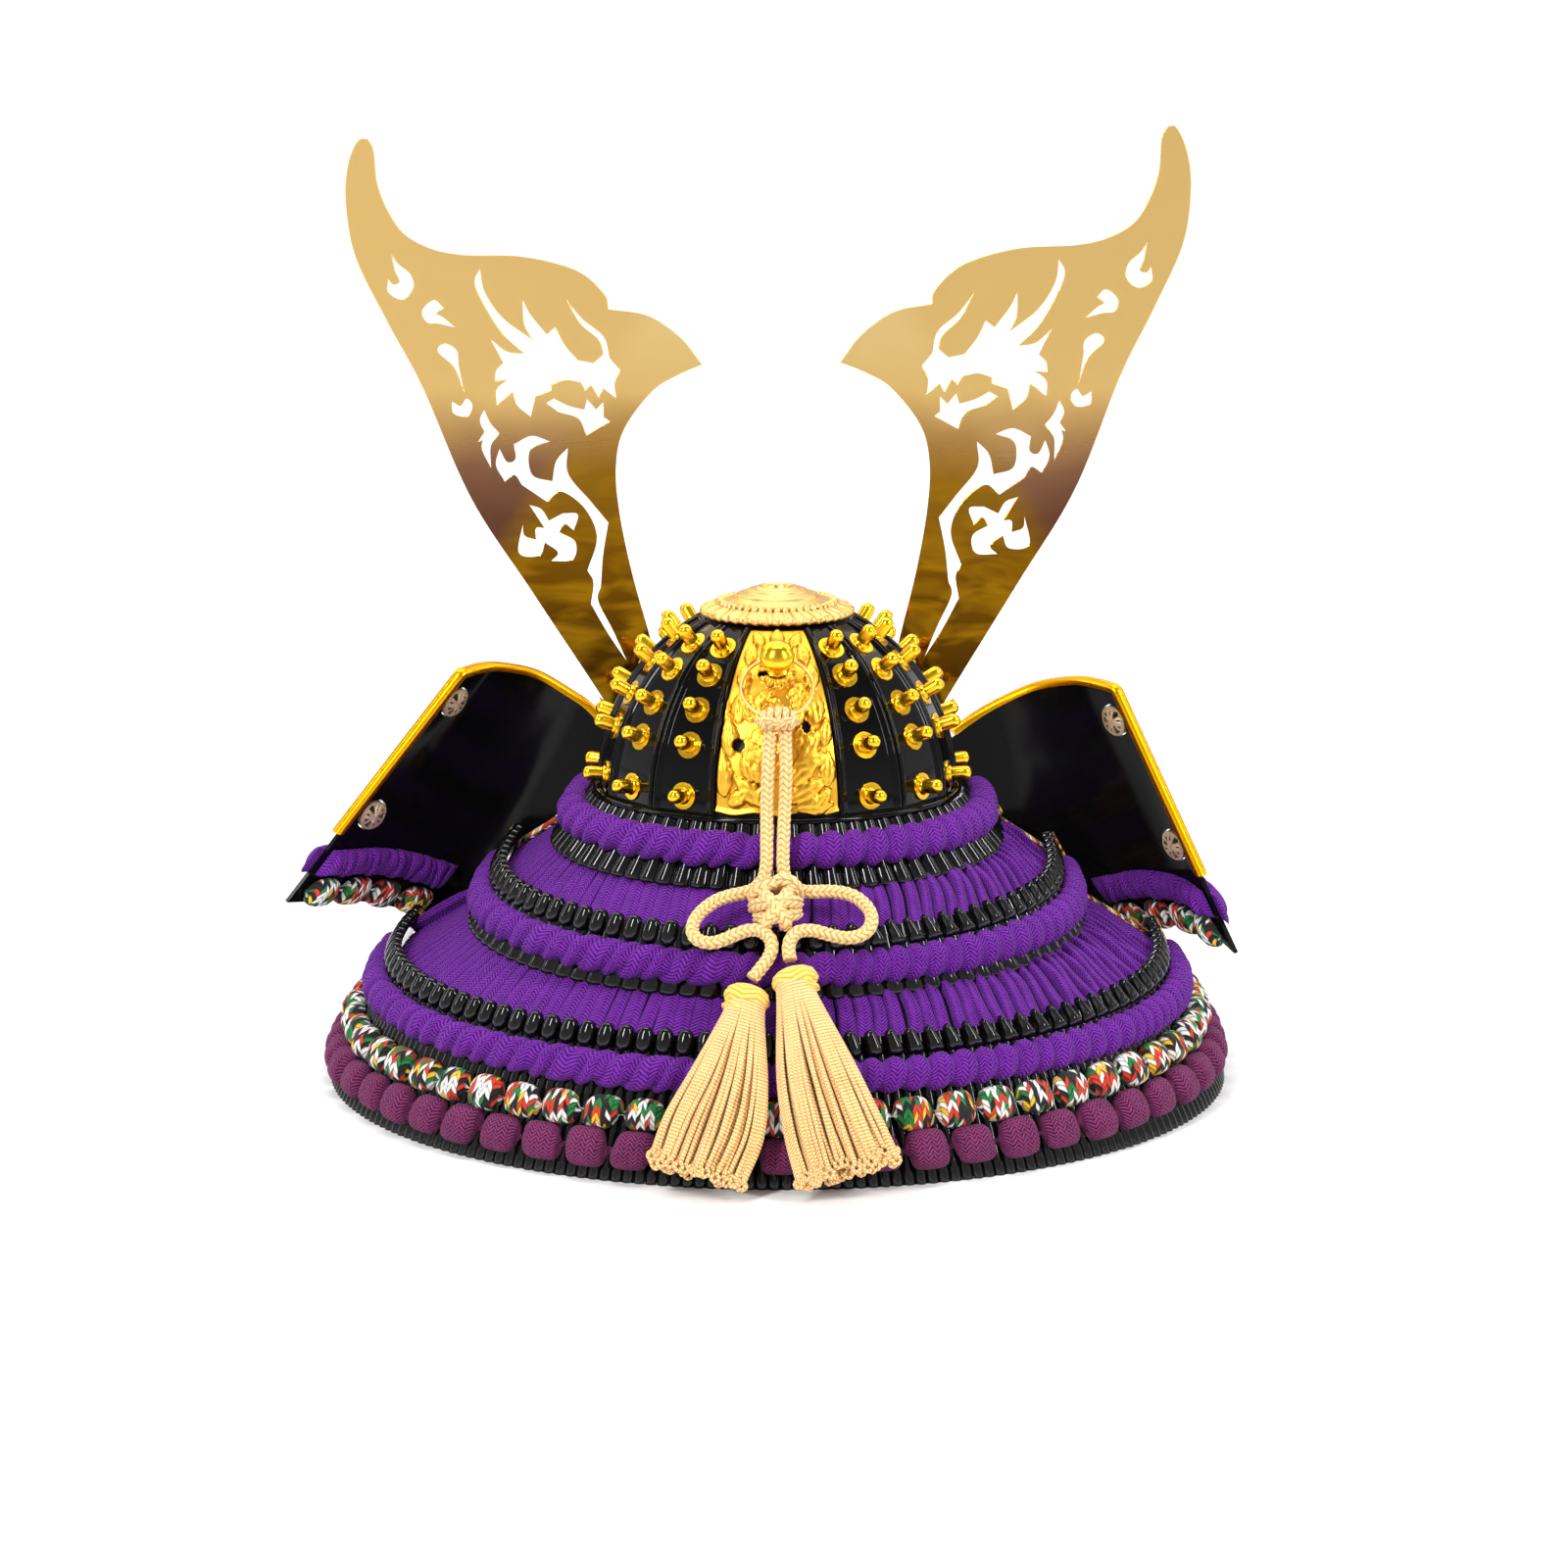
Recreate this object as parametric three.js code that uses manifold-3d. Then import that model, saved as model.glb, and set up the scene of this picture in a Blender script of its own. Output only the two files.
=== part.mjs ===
// Kabuto samurai helmet of display size. Millimetres, +Z up, the back of the helmet towards -Y.
// The bowl and the neck guard are drawn about the bowl's axis with z = 0 at the bowl's foot,
// and the whole is set down on its lowest rim at the end.
import * as THREE from 'three';
import { mergeVertices } from 'three/addons/utils/BufferGeometryUtils.js';
import Module from 'manifold-3d';

const wasm = await Module();
wasm.setup();

// ---------------------------------------------------------------- driving sizes
const GAP = 0.3;                 // clearance between neighbouring pieces
const BOWL_R = 59.5;             // outer face of the bowl plates at the foot
const BOWL_H = 65;               // height of the bowl's curve
const BOWL_LEAN = 3.2;           // degrees the bowl dips towards its front
const PLATE_T = 1.5;             // plate wall behind the flat face
const PLATE_SPAN = 70 / 3;       // degrees taken by one riveted plate
const GILT_SPAN = 40;            // degrees taken by the gilt plate at back and front
const RIVET_HEIGHTS = [7.6, 24, 35, 45.5, 53.3];
const LAME_T = 1.5;              // lacquered lame wall
const BAND_T = 2;                // laced silk band wall
const FRONT_REACH = 150;         // the neck guard's curve towards the front
const NECK_END = 36;             // its front ends stand this far ahead of the bowl's axis
const NECK_TURN = -3;            // degrees the laced neck guard sits turned on the bowl
const RIM_Z = -98.5;             // lowest rim under the bowl's foot
const HORN_T = 1.2;              // sheet of the horns
const HORN_LEAN = 8;             // degrees the horns lean forward
const HORN_Y = 66;               // the horns' foot ahead of the bowl's axis
const CREST_ROLL = 0.9;          // degrees the pair of horns sits turned in its own plane
const CORD_D = 4;

// Lines of the neck guard's outer face: half width a, reach b to the back, height z,
// and the tilt towards the front in degrees.
const NECK_LINES = {
  lame1Top: { a: 62.6, b: 62.6, z: 0.2, tilt: 3.2 },
  lame1Foot: { a: 75.2, b: 74.0, z: -16.0, tilt: 1.6 },
  band1Top: { a: 73.3, b: 72.1, z: -17.6, tilt: 1.6 },
  band1Foot: { a: 92.4, b: 93.2, z: -30.6, tilt: 0 },
  lame2Top: { a: 92.5, b: 93.5, z: -23.8, tilt: 0 },
  lame2Foot: { a: 103.4, b: 101.0, z: -43.0, tilt: 0 },
  band2Top: { a: 101.8, b: 99.4, z: -44.4, tilt: 0 },
  band2Foot: { a: 128.6, b: 117.2, z: -60.2, tilt: 0 },
  lame3Top: { a: 128.5, b: 117.0, z: -53.2, tilt: 0 },
  lame3Foot: { a: 152.5, b: 136.0, z: RIM_Z, tilt: 0 },
};

// Rows that lie on a lame: how far down the lame, half height, bulge and number of stretches.
const ROLLS = [
  { name: 'lacing_roll_1', top: 'lame1Top', foot: 'lame1Foot', at: 0.44, half: 6.0, bulge: 5.2, count: 24 },
  { name: 'lacing_roll_2', top: 'lame2Top', foot: 'lame2Foot', at: 0.62, half: 5.8, bulge: 4.6, count: 28 },
  { name: 'lacing_roll_3', top: 'lame3Top', foot: 'lame3Foot', at: 0.265, half: 5.8, bulge: 5.2, count: 32 },
];
const KNOTS = [
  { name: 'knot_row_multicolour', at: 0.537, half: 5.6, bulge: 5.4, pitch: 14.6 },
  { name: 'knot_row_maroon', at: 0.776, half: 6.2, bulge: 6.6, pitch: 16.2 },
];

const FINISH = {
  lacquer: { color: 0x0a0a0c, roughness: 0.12, metalness: 0.0 },
  gilt: { color: 0xf0b428, roughness: 0.3, metalness: 1.0 },
  palegilt: { color: 0xf4d68c, roughness: 0.45, metalness: 1.0 },
  hornbrass: { color: 0xd9b25c, roughness: 0.2, metalness: 1.0 },
  purplesilk: { color: 0x5a2496, roughness: 0.85, metalness: 0.0 },
  maroonsilk: { color: 0x733060, roughness: 0.9, metalness: 0.0 },
  mixedbraid: { color: 0xcfc9b8, roughness: 0.85, metalness: 0.0 },
  peachcord: { color: 0xf2cd94, roughness: 0.85, metalness: 0.0 },
};

const rad = (degrees) => degrees * Math.PI / 180;
const vec = (x, y, z) => new THREE.Vector3(x, y, z);
const clamp = (value, low, high) => Math.min(high, Math.max(low, value));

// ---------------------------------------------------------------- making solids
// Merge the corners of a geometry and turn its faces outward.
function closed(geometry) {
  geometry.deleteAttribute('normal');
  geometry.deleteAttribute('uv');
  const merged = mergeVertices(geometry, 1e-4);
  const p = merged.attributes.position;
  const index = merged.index.array;
  const a = vec(0, 0, 0);
  const b = vec(0, 0, 0);
  const c = vec(0, 0, 0);
  let volume = 0;
  for (let i = 0; i < index.length; i += 3) {
    a.fromBufferAttribute(p, index[i]);
    b.fromBufferAttribute(p, index[i + 1]);
    c.fromBufferAttribute(p, index[i + 2]);
    volume += a.dot(b.cross(c)) / 6;
  }
  if (volume < 0) {
    for (let i = 0; i < index.length; i += 3) {
      [index[i], index[i + 1]] = [index[i + 1], index[i]];
    }
  }
  return merged;
}

function fromTriangles(points, triangles) {
  const geometry = new THREE.BufferGeometry();
  geometry.setAttribute('position', new THREE.Float32BufferAttribute(points.flatMap((p) => [p.x, p.y, p.z]), 3));
  geometry.setIndex(triangles);
  return closed(geometry);
}

// Triangles that close one end section, cut in the plane that fits it.
function capTriangles(loop, first) {
  const centre = loop.reduce((sum, p) => sum.add(p), vec(0, 0, 0)).divideScalar(loop.length);
  const normal = vec(0, 0, 0);
  loop.forEach((p, i) => {
    const q = loop[(i + 1) % loop.length];
    normal.add(p.clone().sub(centre).cross(q.clone().sub(centre)));
  });
  normal.normalize();
  const side = loop[0].clone().sub(centre).projectOnPlane(normal).normalize();
  const up = normal.clone().cross(side);
  const flat = loop.map((p) => {
    const r = p.clone().sub(centre);
    return new THREE.Vector2(r.dot(side), r.dot(up));
  });
  return THREE.ShapeUtils.triangulateShape(flat, []).flatMap((t) => t.map((i) => i + first));
}

// A body through a row of closed sections, with its two ends capped.
function loft(sections) {
  const n = sections[0].length;
  const triangles = [];
  for (let i = 0; i + 1 < sections.length; i += 1) {
    for (let j = 0; j < n; j += 1) {
      const a = i * n + j;
      const b = i * n + (j + 1) % n;
      triangles.push(a, b, b + n, a, b + n, a + n);
    }
  }
  const start = capTriangles(sections[0], 0);
  for (let i = 0; i < start.length; i += 3) {
    triangles.push(start[i + 1], start[i], start[i + 2]);
  }
  triangles.push(...capTriangles(sections[sections.length - 1], (sections.length - 1) * n));
  return fromTriangles(sections.flat(), triangles);
}

// A turned body about +Z from a closed profile of [radius, height] pairs.
function turned(profile, segments) {
  const points = [...profile, profile[0]].map(([r, z]) => new THREE.Vector2(Math.max(r, 0), z));
  const geometry = new THREE.LatheGeometry(points, segments);
  geometry.rotateX(Math.PI / 2);
  return dropThin(closed(geometry));
}

// Drop the zero-width triangles where a profile touches its axis.
function dropThin(geometry) {
  const index = [...geometry.index.array];
  const kept = [];
  for (let i = 0; i < index.length; i += 3) {
    const [a, b, c] = index.slice(i, i + 3);
    if (a !== b && b !== c && c !== a) kept.push(a, b, c);
  }
  geometry.setIndex(kept);
  return geometry;
}

function solid(geometry) {
  const mesh = new wasm.Mesh({
    numProp: 3,
    vertProperties: new Float32Array(geometry.attributes.position.array),
    triVerts: new Uint32Array(geometry.index.array),
  });
  return new wasm.Manifold(mesh);
}

function surfaceOf(manifold) {
  const mesh = manifold.getMesh();
  const geometry = new THREE.BufferGeometry();
  geometry.setAttribute('position', new THREE.BufferAttribute(new Float32Array(mesh.vertProperties), 3));
  geometry.setIndex([...mesh.triVerts]);
  return geometry;
}

function fused(geometries) {
  return surfaceOf(geometries.map(solid).reduce((sum, part) => sum.add(part)));
}

function pierced(geometry, tools) {
  return surfaceOf(tools.map(solid).reduce((left, tool) => left.subtract(tool), solid(geometry)));
}

// Move a body drawn about the origin to a point, with its +Z along a direction.
function setAlong(geometry, point, direction) {
  const turn = new THREE.Quaternion().setFromUnitVectors(vec(0, 0, 1), direction.clone().normalize());
  return geometry.applyQuaternion(turn).translate(point.x, point.y, point.z);
}

function mirrored(geometry) {
  return closed(geometry.clone().scale(-1, 1, 1));
}

const root = new THREE.Group();
root.name = 'kabuto';

function piece(name, geometry, finish) {
  const mesh = new THREE.Mesh(geometry, new THREE.MeshStandardMaterial({ ...FINISH[finish], name: finish }));
  mesh.name = name;
  root.add(mesh);
  return mesh;
}

// ---------------------------------------------------------------- bowl
// A point on the bowl's curve: azimuth in degrees from the back, climb in degrees, lift along the normal.
function onBowl(azimuth, climb, lift = 0) {
  const r = BOWL_R * Math.cos(rad(climb));
  const z = BOWL_H * Math.sin(rad(climb));
  const out = vec(r / BOWL_R ** 2, z / BOWL_H ** 2, 0).normalize();
  const reach = r + out.x * lift;
  const a = rad(azimuth);
  return vec(reach * Math.sin(a), -reach * Math.cos(a), z + out.y * lift);
}

const bowlNormal = (azimuth, climb) => onBowl(azimuth, climb, 1).sub(onBowl(azimuth, climb, 0));
const climbAt = (height) => Math.asin(height / BOWL_H) * 180 / Math.PI;
const leanBowl = (geometry) => geometry.rotateX(-rad(BOWL_LEAN));
const PLATE_CLIMBS = [2.3, 18, 33, 47, 64];

// The inner shell follows the joints between the plates, so that each plate bears flat on it.
function bowlShell() {
  const azimuths = [];
  [0, 180].forEach((middle) => {
    [-20, -20 / 3, 20 / 3, 20].forEach((a) => azimuths.push(middle + a));
  });
  for (let i = 1; i < 6; i += 1) {
    azimuths.push(20 + i * PLATE_SPAN, 340 - i * PLATE_SPAN);
  }
  const around = azimuths.map((a) => (a + 360) % 360).sort((a, b) => a - b);
  const skirt = -8;
  return fromRings(around, (azimuth) => {
    const outer = [...PLATE_CLIMBS, 84].map((climb) => onBowl(azimuth, climb, -PLATE_T - GAP));
    const inner = [84, 47, 4].map((climb) => onBowl(azimuth, climb, -PLATE_T - GAP - 1.4));
    const foot = (p) => vec(p.x, p.y, skirt);
    return [foot(outer[0]), ...outer, ...inner, foot(inner[2])];
  });
}

// A ring-shaped body: the same closed section set round a full circle.
function fromRings(around, section) {
  const loops = around.map(section);
  const n = loops[0].length;
  const triangles = [];
  loops.forEach((loop, i) => {
    const next = ((i + 1) % loops.length) * n;
    for (let j = 0; j < n; j += 1) {
      const k = (j + 1) % n;
      triangles.push(i * n + j, i * n + k, next + k, i * n + j, next + k, next + j);
    }
  });
  return fromTriangles(loops.flat(), triangles);
}

// One lacquered plate with a raised rib along both edges and five rivets fused to it.
function rivetedPlate(azimuth) {
  const sections = PLATE_CLIMBS.map((climb) => {
    const r = BOWL_R * Math.cos(rad(climb));
    const shape = [[0.15, -PLATE_T], [0.9, 1.4], [2.7, 0]];
    const left = shape.map(([inset, lift]) => {
      return onBowl(azimuth - PLATE_SPAN / 2 + inset / r * 180 / Math.PI, climb, lift);
    });
    const right = shape.map(([inset, lift]) => {
      return onBowl(azimuth + PLATE_SPAN / 2 - inset / r * 180 / Math.PI, climb, lift);
    });
    return [...left, ...right.reverse()];
  });
  const rivets = RIVET_HEIGHTS.map((height) => {
    const climb = climbAt(height);
    const rivet = turned([[0, -0.9], [4.6, -0.9], [2.1, 1], [2.4, 5.4], [0, 6.9]], 4);
    return setAlong(rivet, onBowl(azimuth, climb, -0.1), bowlNormal(azimuth, climb));
  });
  return leanBowl(fused([loft(sections), ...rivets]));
}

// Leaves and blossoms of the cast gilt plates: place across (-1..1) and up (0..1), length, width, turn.
const LEAVES = [
  { across: 0.0, up: 0.46, long: 9, wide: 9, turn: 0, high: 1.6 },
  { across: -0.62, up: 0.16, long: 12, wide: 6, turn: 55, high: 1.5 },
  { across: 0.62, up: 0.16, long: 12, wide: 6, turn: -55, high: 1.5 },
  { across: 0.1, up: 0.2, long: 11, wide: 6, turn: 8, high: 1.3 },
  { across: -0.6, up: 0.52, long: 11, wide: 6, turn: -50, high: 1.4 },
  { across: 0.6, up: 0.55, long: 11, wide: 6, turn: 48, high: 1.4 },
  { across: -0.45, up: 0.78, long: 9, wide: 5, turn: 20, high: 1.3 },
  { across: 0.45, up: 0.8, long: 9, wide: 5, turn: -20, high: 1.3 },
];
const PLATE_HOLES = [
  { across: -0.3, up: 0.7, size: 1.5 },
  { across: -0.66, up: 0.33, size: 2.1 },
  { across: 0.52, up: 0.36, size: 2.0 },
  { across: 0.12, up: 0.33, size: 1.5 },
];
const GILT_CLIMBS = { low: 2.3, high: 64 };

function relief(across, up) {
  const halfWidth = 20 - 10 * up;
  const height = 62;
  let lift = Math.abs(across) > 0.9 ? 0.7 : 0.15;
  LEAVES.forEach((leaf) => {
    const dx = (across - leaf.across) * halfWidth;
    const dy = (up - leaf.up) * height;
    const c = Math.cos(rad(leaf.turn));
    const s = Math.sin(rad(leaf.turn));
    const along = (dy * c - dx * s) / leaf.long;
    const cross = (dx * c + dy * s) / leaf.wide;
    lift = Math.max(lift, leaf.high * (1 - along * along * 2.2 - cross * cross * 2.2) + 0.4);
  });
  return lift;
}

function giltPlate(middle) {
  const columns = 7;
  const rows = 7;
  const sections = [];
  for (let i = 0; i <= rows; i += 1) {
    const up = i / rows;
    const climb = GILT_CLIMBS.low + (GILT_CLIMBS.high - GILT_CLIMBS.low) * up;
    const inset = 0.15 / Math.cos(rad(climb)) / BOWL_R * 180 / Math.PI;
    const half = GILT_SPAN / 2 - inset;
    const back = [-1, -1 / 3, 1 / 3, 1].map((k) => onBowl(middle + k * half, climb, -PLATE_T));
    const front = [];
    for (let j = 0; j <= columns; j += 1) {
      const across = 1 - 2 * j / columns;
      front.push(onBowl(middle + across * half, climb, relief(across, up)));
    }
    sections.push([...back, ...front]);
  }
  const tools = PLATE_HOLES.map((hole) => {
    const azimuth = middle + hole.across * GILT_SPAN / 2;
    const climb = GILT_CLIMBS.low + (GILT_CLIMBS.high - GILT_CLIMBS.low) * hole.up;
    const pin = turned([[0, -6], [hole.size, -6], [hole.size, 6], [0, 6]], 5);
    return setAlong(pin, onBowl(azimuth, climb, 0), bowlNormal(azimuth, climb));
  });
  return leanBowl(pierced(loft(sections), tools));
}

piece('bowl_shell', leanBowl(bowlShell()), 'lacquer');
for (let i = 0; i < 6; i += 1) {
  const azimuth = 20 + PLATE_SPAN * (i + 0.5);
  piece(`bowl_plate_right_${i + 1}`, rivetedPlate(azimuth), 'lacquer');
  piece(`bowl_plate_left_${i + 1}`, rivetedPlate(-azimuth), 'lacquer');
}
piece('gilt_plate_back', giltPlate(0), 'gilt');
piece('gilt_plate_front', giltPlate(180), 'gilt');

// Tiered dome round the opening at the crown.
const FINIAL_PROFILE = [
  [4.4, 66.2], [15, 63.7], [25.2, 60.2], [26, 62.2], [19.6, 63.6],
  [19.2, 65], [14.6, 66.6], [8, 68.1], [6.8, 69.3], [5.4, 69.4], [4.4, 68.2],
];
piece('crown_finial', leanBowl(turned(FINIAL_PROFILE, 16)), 'palegilt');

// Waist ring that joins the bowl's foot to the first lame.
const WAIST_PROFILE = [[58.6, -8], [60.4, -8], [60.4, 0.7], [62.2, 0.7], [62.2, 2.1], [58.6, 2.1]];
piece('waist_ring', leanBowl(turned(WAIST_PROFILE, 24)), 'lacquer');

// ---------------------------------------------------------------- neck guard
const NECK_SWEEP = 90 + Math.asin(NECK_END / FRONT_REACH) * 180 / Math.PI;

// A point on a line of the neck guard, s from -1 at the left front end to +1 at the right front end.
function onLine(line, s) {
  const a = rad(s * NECK_SWEEP);
  const reach = Math.cos(a) > 0 ? line.b : FRONT_REACH;
  const y = -reach * Math.cos(a);
  return vec(line.a * Math.sin(a), y, line.z - Math.tan(rad(line.tilt)) * y);
}

function onWall(top, foot, s, down) {
  return onLine(NECK_LINES[top], s).lerp(onLine(NECK_LINES[foot], s), down);
}

function wallFrame(top, foot, s, down) {
  const point = onWall(top, foot, s, down);
  const along = onWall(top, foot, s + 0.01, down).sub(onWall(top, foot, s - 0.01, down)).normalize();
  const fall = onWall(top, foot, s, 1).sub(onWall(top, foot, s, 0)).normalize();
  const out = fall.clone().cross(along).normalize();
  return { point, along, fall, out };
}

const stations = (count) => Array.from({ length: count + 1 }, (unused, i) => 2 * i / count - 1);
const turnNeck = (geometry) => geometry.rotateZ(rad(NECK_TURN));

// A wall between two lines, its outer face set out by a small ruffle and its foot cut level.
function neckWall(top, foot, thickness, count, ruffle = () => 0) {
  const sections = stations(count).map((s, i) => {
    return [[0, 0], [1, 0], [1, thickness], [0, thickness]].map(([down, depth]) => {
      const frame = wallFrame(top, foot, s, down);
      const level = frame.point.z;
      frame.point.addScaledVector(frame.out, ruffle(s, i) - depth);
      if (down === 1) frame.point.z = level;
      return frame.point;
    });
  });
  return turnNeck(loft(sections));
}

// A padded row on a lame, from a closed section of [along the fall, lift] pairs.
function neckRow(row, count, scaleAt, section) {
  const sections = stations(count).map((s, i) => {
    const frame = wallFrame(row.top, row.foot, s, row.at);
    return section.map(([fall, lift]) => {
      const size = scaleAt(i);
      return frame.point.clone()
        .addScaledVector(frame.fall, fall * row.half * size)
        .addScaledVector(frame.out, GAP + Math.max(0, lift * row.bulge * size - GAP));
    });
  });
  return turnNeck(loft(sections));
}

const ROLL_SECTION = [[-1, 0], [-0.7, 0.75], [0.05, 1.04], [0.75, 0.75], [1, 0]];
const KNOT_SECTION = [[-1, 0], [-0.55, 0.95], [0.55, 0.95], [1, 0]];

piece('lame_1', neckWall('lame1Top', 'lame1Foot', LAME_T, 24), 'lacquer');
piece('lame_2', neckWall('lame2Top', 'lame2Foot', LAME_T, 28), 'lacquer');
piece('lame_3', neckWall('lame3Top', 'lame3Foot', LAME_T, 32), 'lacquer');

// The right half of the silk bands hangs in loose pleats.
const pleats = (s, i) => (s > 0.12 && s < 0.97 && i % 2 ? 0.7 : 0);
piece('lacing_band_1', neckWall('band1Top', 'band1Foot', BAND_T, 26, pleats), 'purplesilk');
piece('lacing_band_2', neckWall('band2Top', 'band2Foot', BAND_T, 30, pleats), 'purplesilk');

ROLLS.forEach((row) => {
  piece(row.name, neckRow(row, row.count, () => 1, ROLL_SECTION), 'purplesilk');
});

function lineLength(top, foot, down) {
  let length = 0;
  const points = stations(200).map((s) => onWall(top, foot, s, down));
  points.forEach((p, i) => {
    if (i > 0) length += p.distanceTo(points[i - 1]);
  });
  return length;
}

KNOTS.forEach((knots, i) => {
  const row = { ...knots, top: 'lame3Top', foot: 'lame3Foot' };
  const count = Math.round(lineLength(row.top, row.foot, row.at) / row.pitch);
  const waist = (station) => (station % 2 ? 1 : 0.42);
  piece(row.name, neckRow(row, 2 * count, waist, KNOT_SECTION), i ? 'maroonsilk' : 'mixedbraid');
});

// ---------------------------------------------------------------- turn-backs
// Each turn-back is a ruled panel between a curve along its top and one along its foot,
// from its root at the bowl's side to its free outer edge.
const TURNBACKS = {
  left: {
    top: [[-54, 45, 2], [-64, 50, 14], [-73, 51, 20.5], [-83.5, 49.5, 27], [-95, 43, 31], [-101, 37.5, 32], [-107, 30, 32]],
    foot: [[-113, 50, -60], [-122, 49, -57], [-130, 45, -54], [-139, 39.5, -50.5], [-149, 32, -47.5], [-158, 25, -46], [-167, 18, -44.5]],
    trimEnd: 0.69,
  },
  right: {
    top: [[54, 44, 2], [66, 49.5, 10], [76, 51, 16], [89, 49, 22.5], [101, 43, 26], [108, 37, 26.8], [114.6, 30, 26.5]],
    foot: [[110, 49, -64], [119, 44.5, -60.4], [127, 40, -58.6], [134, 36, -57.2], [143, 28.5, -56.8], [150, 21.5, -58], [156, 14, -61.6]],
    trimEnd: 0.69,
  },
};
const PANEL_T = 1.5;

function panelFrame(side, across, down) {
  const wing = TURNBACKS[side];
  const curve = (rows) => new THREE.CatmullRomCurve3(rows.map((row) => vec(...row)));
  const spot = (u, v) => {
    const k = clamp(u, 0, 1);
    return curve(wing.top).getPoint(k).lerp(curve(wing.foot).getPoint(k), v);
  };
  const point = spot(across, down);
  const along = spot(across + 0.02, down).sub(spot(across - 0.02, down)).normalize();
  const fall = spot(across, 1).sub(spot(across, 0)).normalize();
  const out = along.clone().cross(fall).normalize();
  if (out.y > 0) out.negate();
  return { point, along, fall, out };
}

// The wearer-side face is `out`, towards the back of the helmet.
function turnbackPanel(side) {
  const sections = Array.from({ length: 11 }, (unused, i) => {
    const across = i / 10;
    return [[0, 0], [1, 0], [1, -PANEL_T], [0, -PANEL_T]].map(([down, lift]) => {
      const frame = panelFrame(side, across, down);
      return frame.point.addScaledVector(frame.out, lift);
    });
  });
  const holes = ORNAMENTS.map((spot) => onPanel(side, spot, turned([[0, -5], [5.9, -5], [5.9, 5], [0, 5]], 8)));
  return pierced(loft(sections), holes);
}

// Round openwork crests set in the panel near its outer edge.
const ORNAMENTS = [
  { name: 'upper', across: 0.875, down: 0.13 },
  { name: 'lower', across: 0.875, down: 0.62 },
];

function onPanel(side, spot, geometry) {
  const frame = panelFrame(side, spot.across, spot.down);
  return setAlong(geometry, frame.point.addScaledVector(frame.out, -PANEL_T / 2), frame.out);
}

function ornament(side, spot) {
  const disc = turned([[0, -3.4], [5.5, -1.2], [5.5, 0.9], [0, 0.9]], 8);
  const gaps = [0, 1, 2].map((k) => {
    const shape = new THREE.Shape([[1.5, 0.6], [4.2, 0.8], [2.3, 3.7]].map((p) => new THREE.Vector2(...p)));
    const gap = new THREE.ExtrudeGeometry(shape, { depth: 10, bevelEnabled: false }).translate(0, 0, -5);
    return closed(gap.rotateZ(k * 2 * Math.PI / 3));
  });
  return onPanel(side, spot, pierced(disc, gaps));
}

// Gilt edging along the top edge and down the outer edge, just outside the panel.
function turnbackTrim(side) {
  const wing = TURNBACKS[side];
  const spots = [];
  for (let i = 1; i <= 10; i += 1) spots.push({ across: i / 10, down: 0, outward: [0, 1] });
  spots[9].outward = [1, 1];
  for (let i = 1; i <= 2; i += 1) spots.push({ across: 1, down: wing.trimEnd * i / 2, outward: [1, 0] });
  const sections = spots.map((spot) => {
    const frame = panelFrame(side, spot.across, spot.down);
    const sideways = frame.along.clone().multiplyScalar(spot.outward[0]);
    const upward = frame.fall.clone().multiplyScalar(-spot.outward[1]);
    const away = sideways.add(upward);
    return [[GAP, -3], [GAP + 1.9, -2.7], [GAP + 2.6, -PANEL_T / 2], [GAP + 1.9, 1.2], [GAP, 1.5]].map(([reach, lift]) => {
      return frame.point.clone().addScaledVector(away, reach).addScaledVector(frame.out, lift);
    });
  });
  return loft(sections);
}

// Silk lacing that runs across the lower strip, on the back face and on the front face.
function turnbackRoll(side, face) {
  const start = face > 0 ? 0.14 : 0.5;
  const end = face > 0 ? 0.97 : 1.0;
  const sections = Array.from({ length: 8 }, (unused, i) => {
    const across = start + (end - start) * i / 7;
    const frame = panelFrame(side, across, 0.82);
    const base = face > 0 ? 1.3 : PANEL_T + 0.5;
    const edge = face < 0 && i === 7 ? 3 : 0;
    return [[-5.5, 0], [-4, 3.2], [0, 4.6], [4, 3.2], [5.5, 0]].map(([fall, lift]) => {
      return frame.point.clone()
        .addScaledVector(frame.fall, fall)
        .addScaledVector(frame.along, edge)
        .addScaledVector(frame.out, face * (base + lift));
    });
  });
  return loft(sections);
}

function turnbackKnots(side) {
  const count = 7;
  const sections = Array.from({ length: 2 * count + 1 }, (unused, i) => {
    const across = 0.2 + 0.76 * i / (2 * count);
    const frame = panelFrame(side, across, 0.945);
    const size = i % 2 ? 1 : 0.5;
    return [[-4.2, 0], [-2.6, 3.4], [2.6, 3.4], [4.2, 0]].map(([fall, lift]) => {
      return frame.point.clone()
        .addScaledVector(frame.fall, fall * size)
        .addScaledVector(frame.out, 1.1 + lift * size);
    });
  });
  return loft(sections);
}

['left', 'right'].forEach((side) => {
  piece(`turnback_panel_${side}`, turnbackPanel(side), 'lacquer');
  piece(`turnback_trim_${side}`, turnbackTrim(side), 'gilt');
  piece(`turnback_roll_back_${side}`, turnbackRoll(side, 1), 'purplesilk');
  piece(`turnback_roll_front_${side}`, turnbackRoll(side, -1), 'purplesilk');
  piece(`turnback_knots_${side}`, turnbackKnots(side), 'mixedbraid');
  ORNAMENTS.forEach((spot) => {
    piece(`turnback_crest_${spot.name}_${side}`, ornament(side, spot), 'palegilt');
  });
});

// ---------------------------------------------------------------- visor, crest holder and horns
// The visor's outer edge: azimuth from the front, width ahead of the bowl, and fall.
const VISOR_HALF = 46;
const VISOR_ROOT = 60.8;
const VISOR_T = 1.4;

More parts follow.
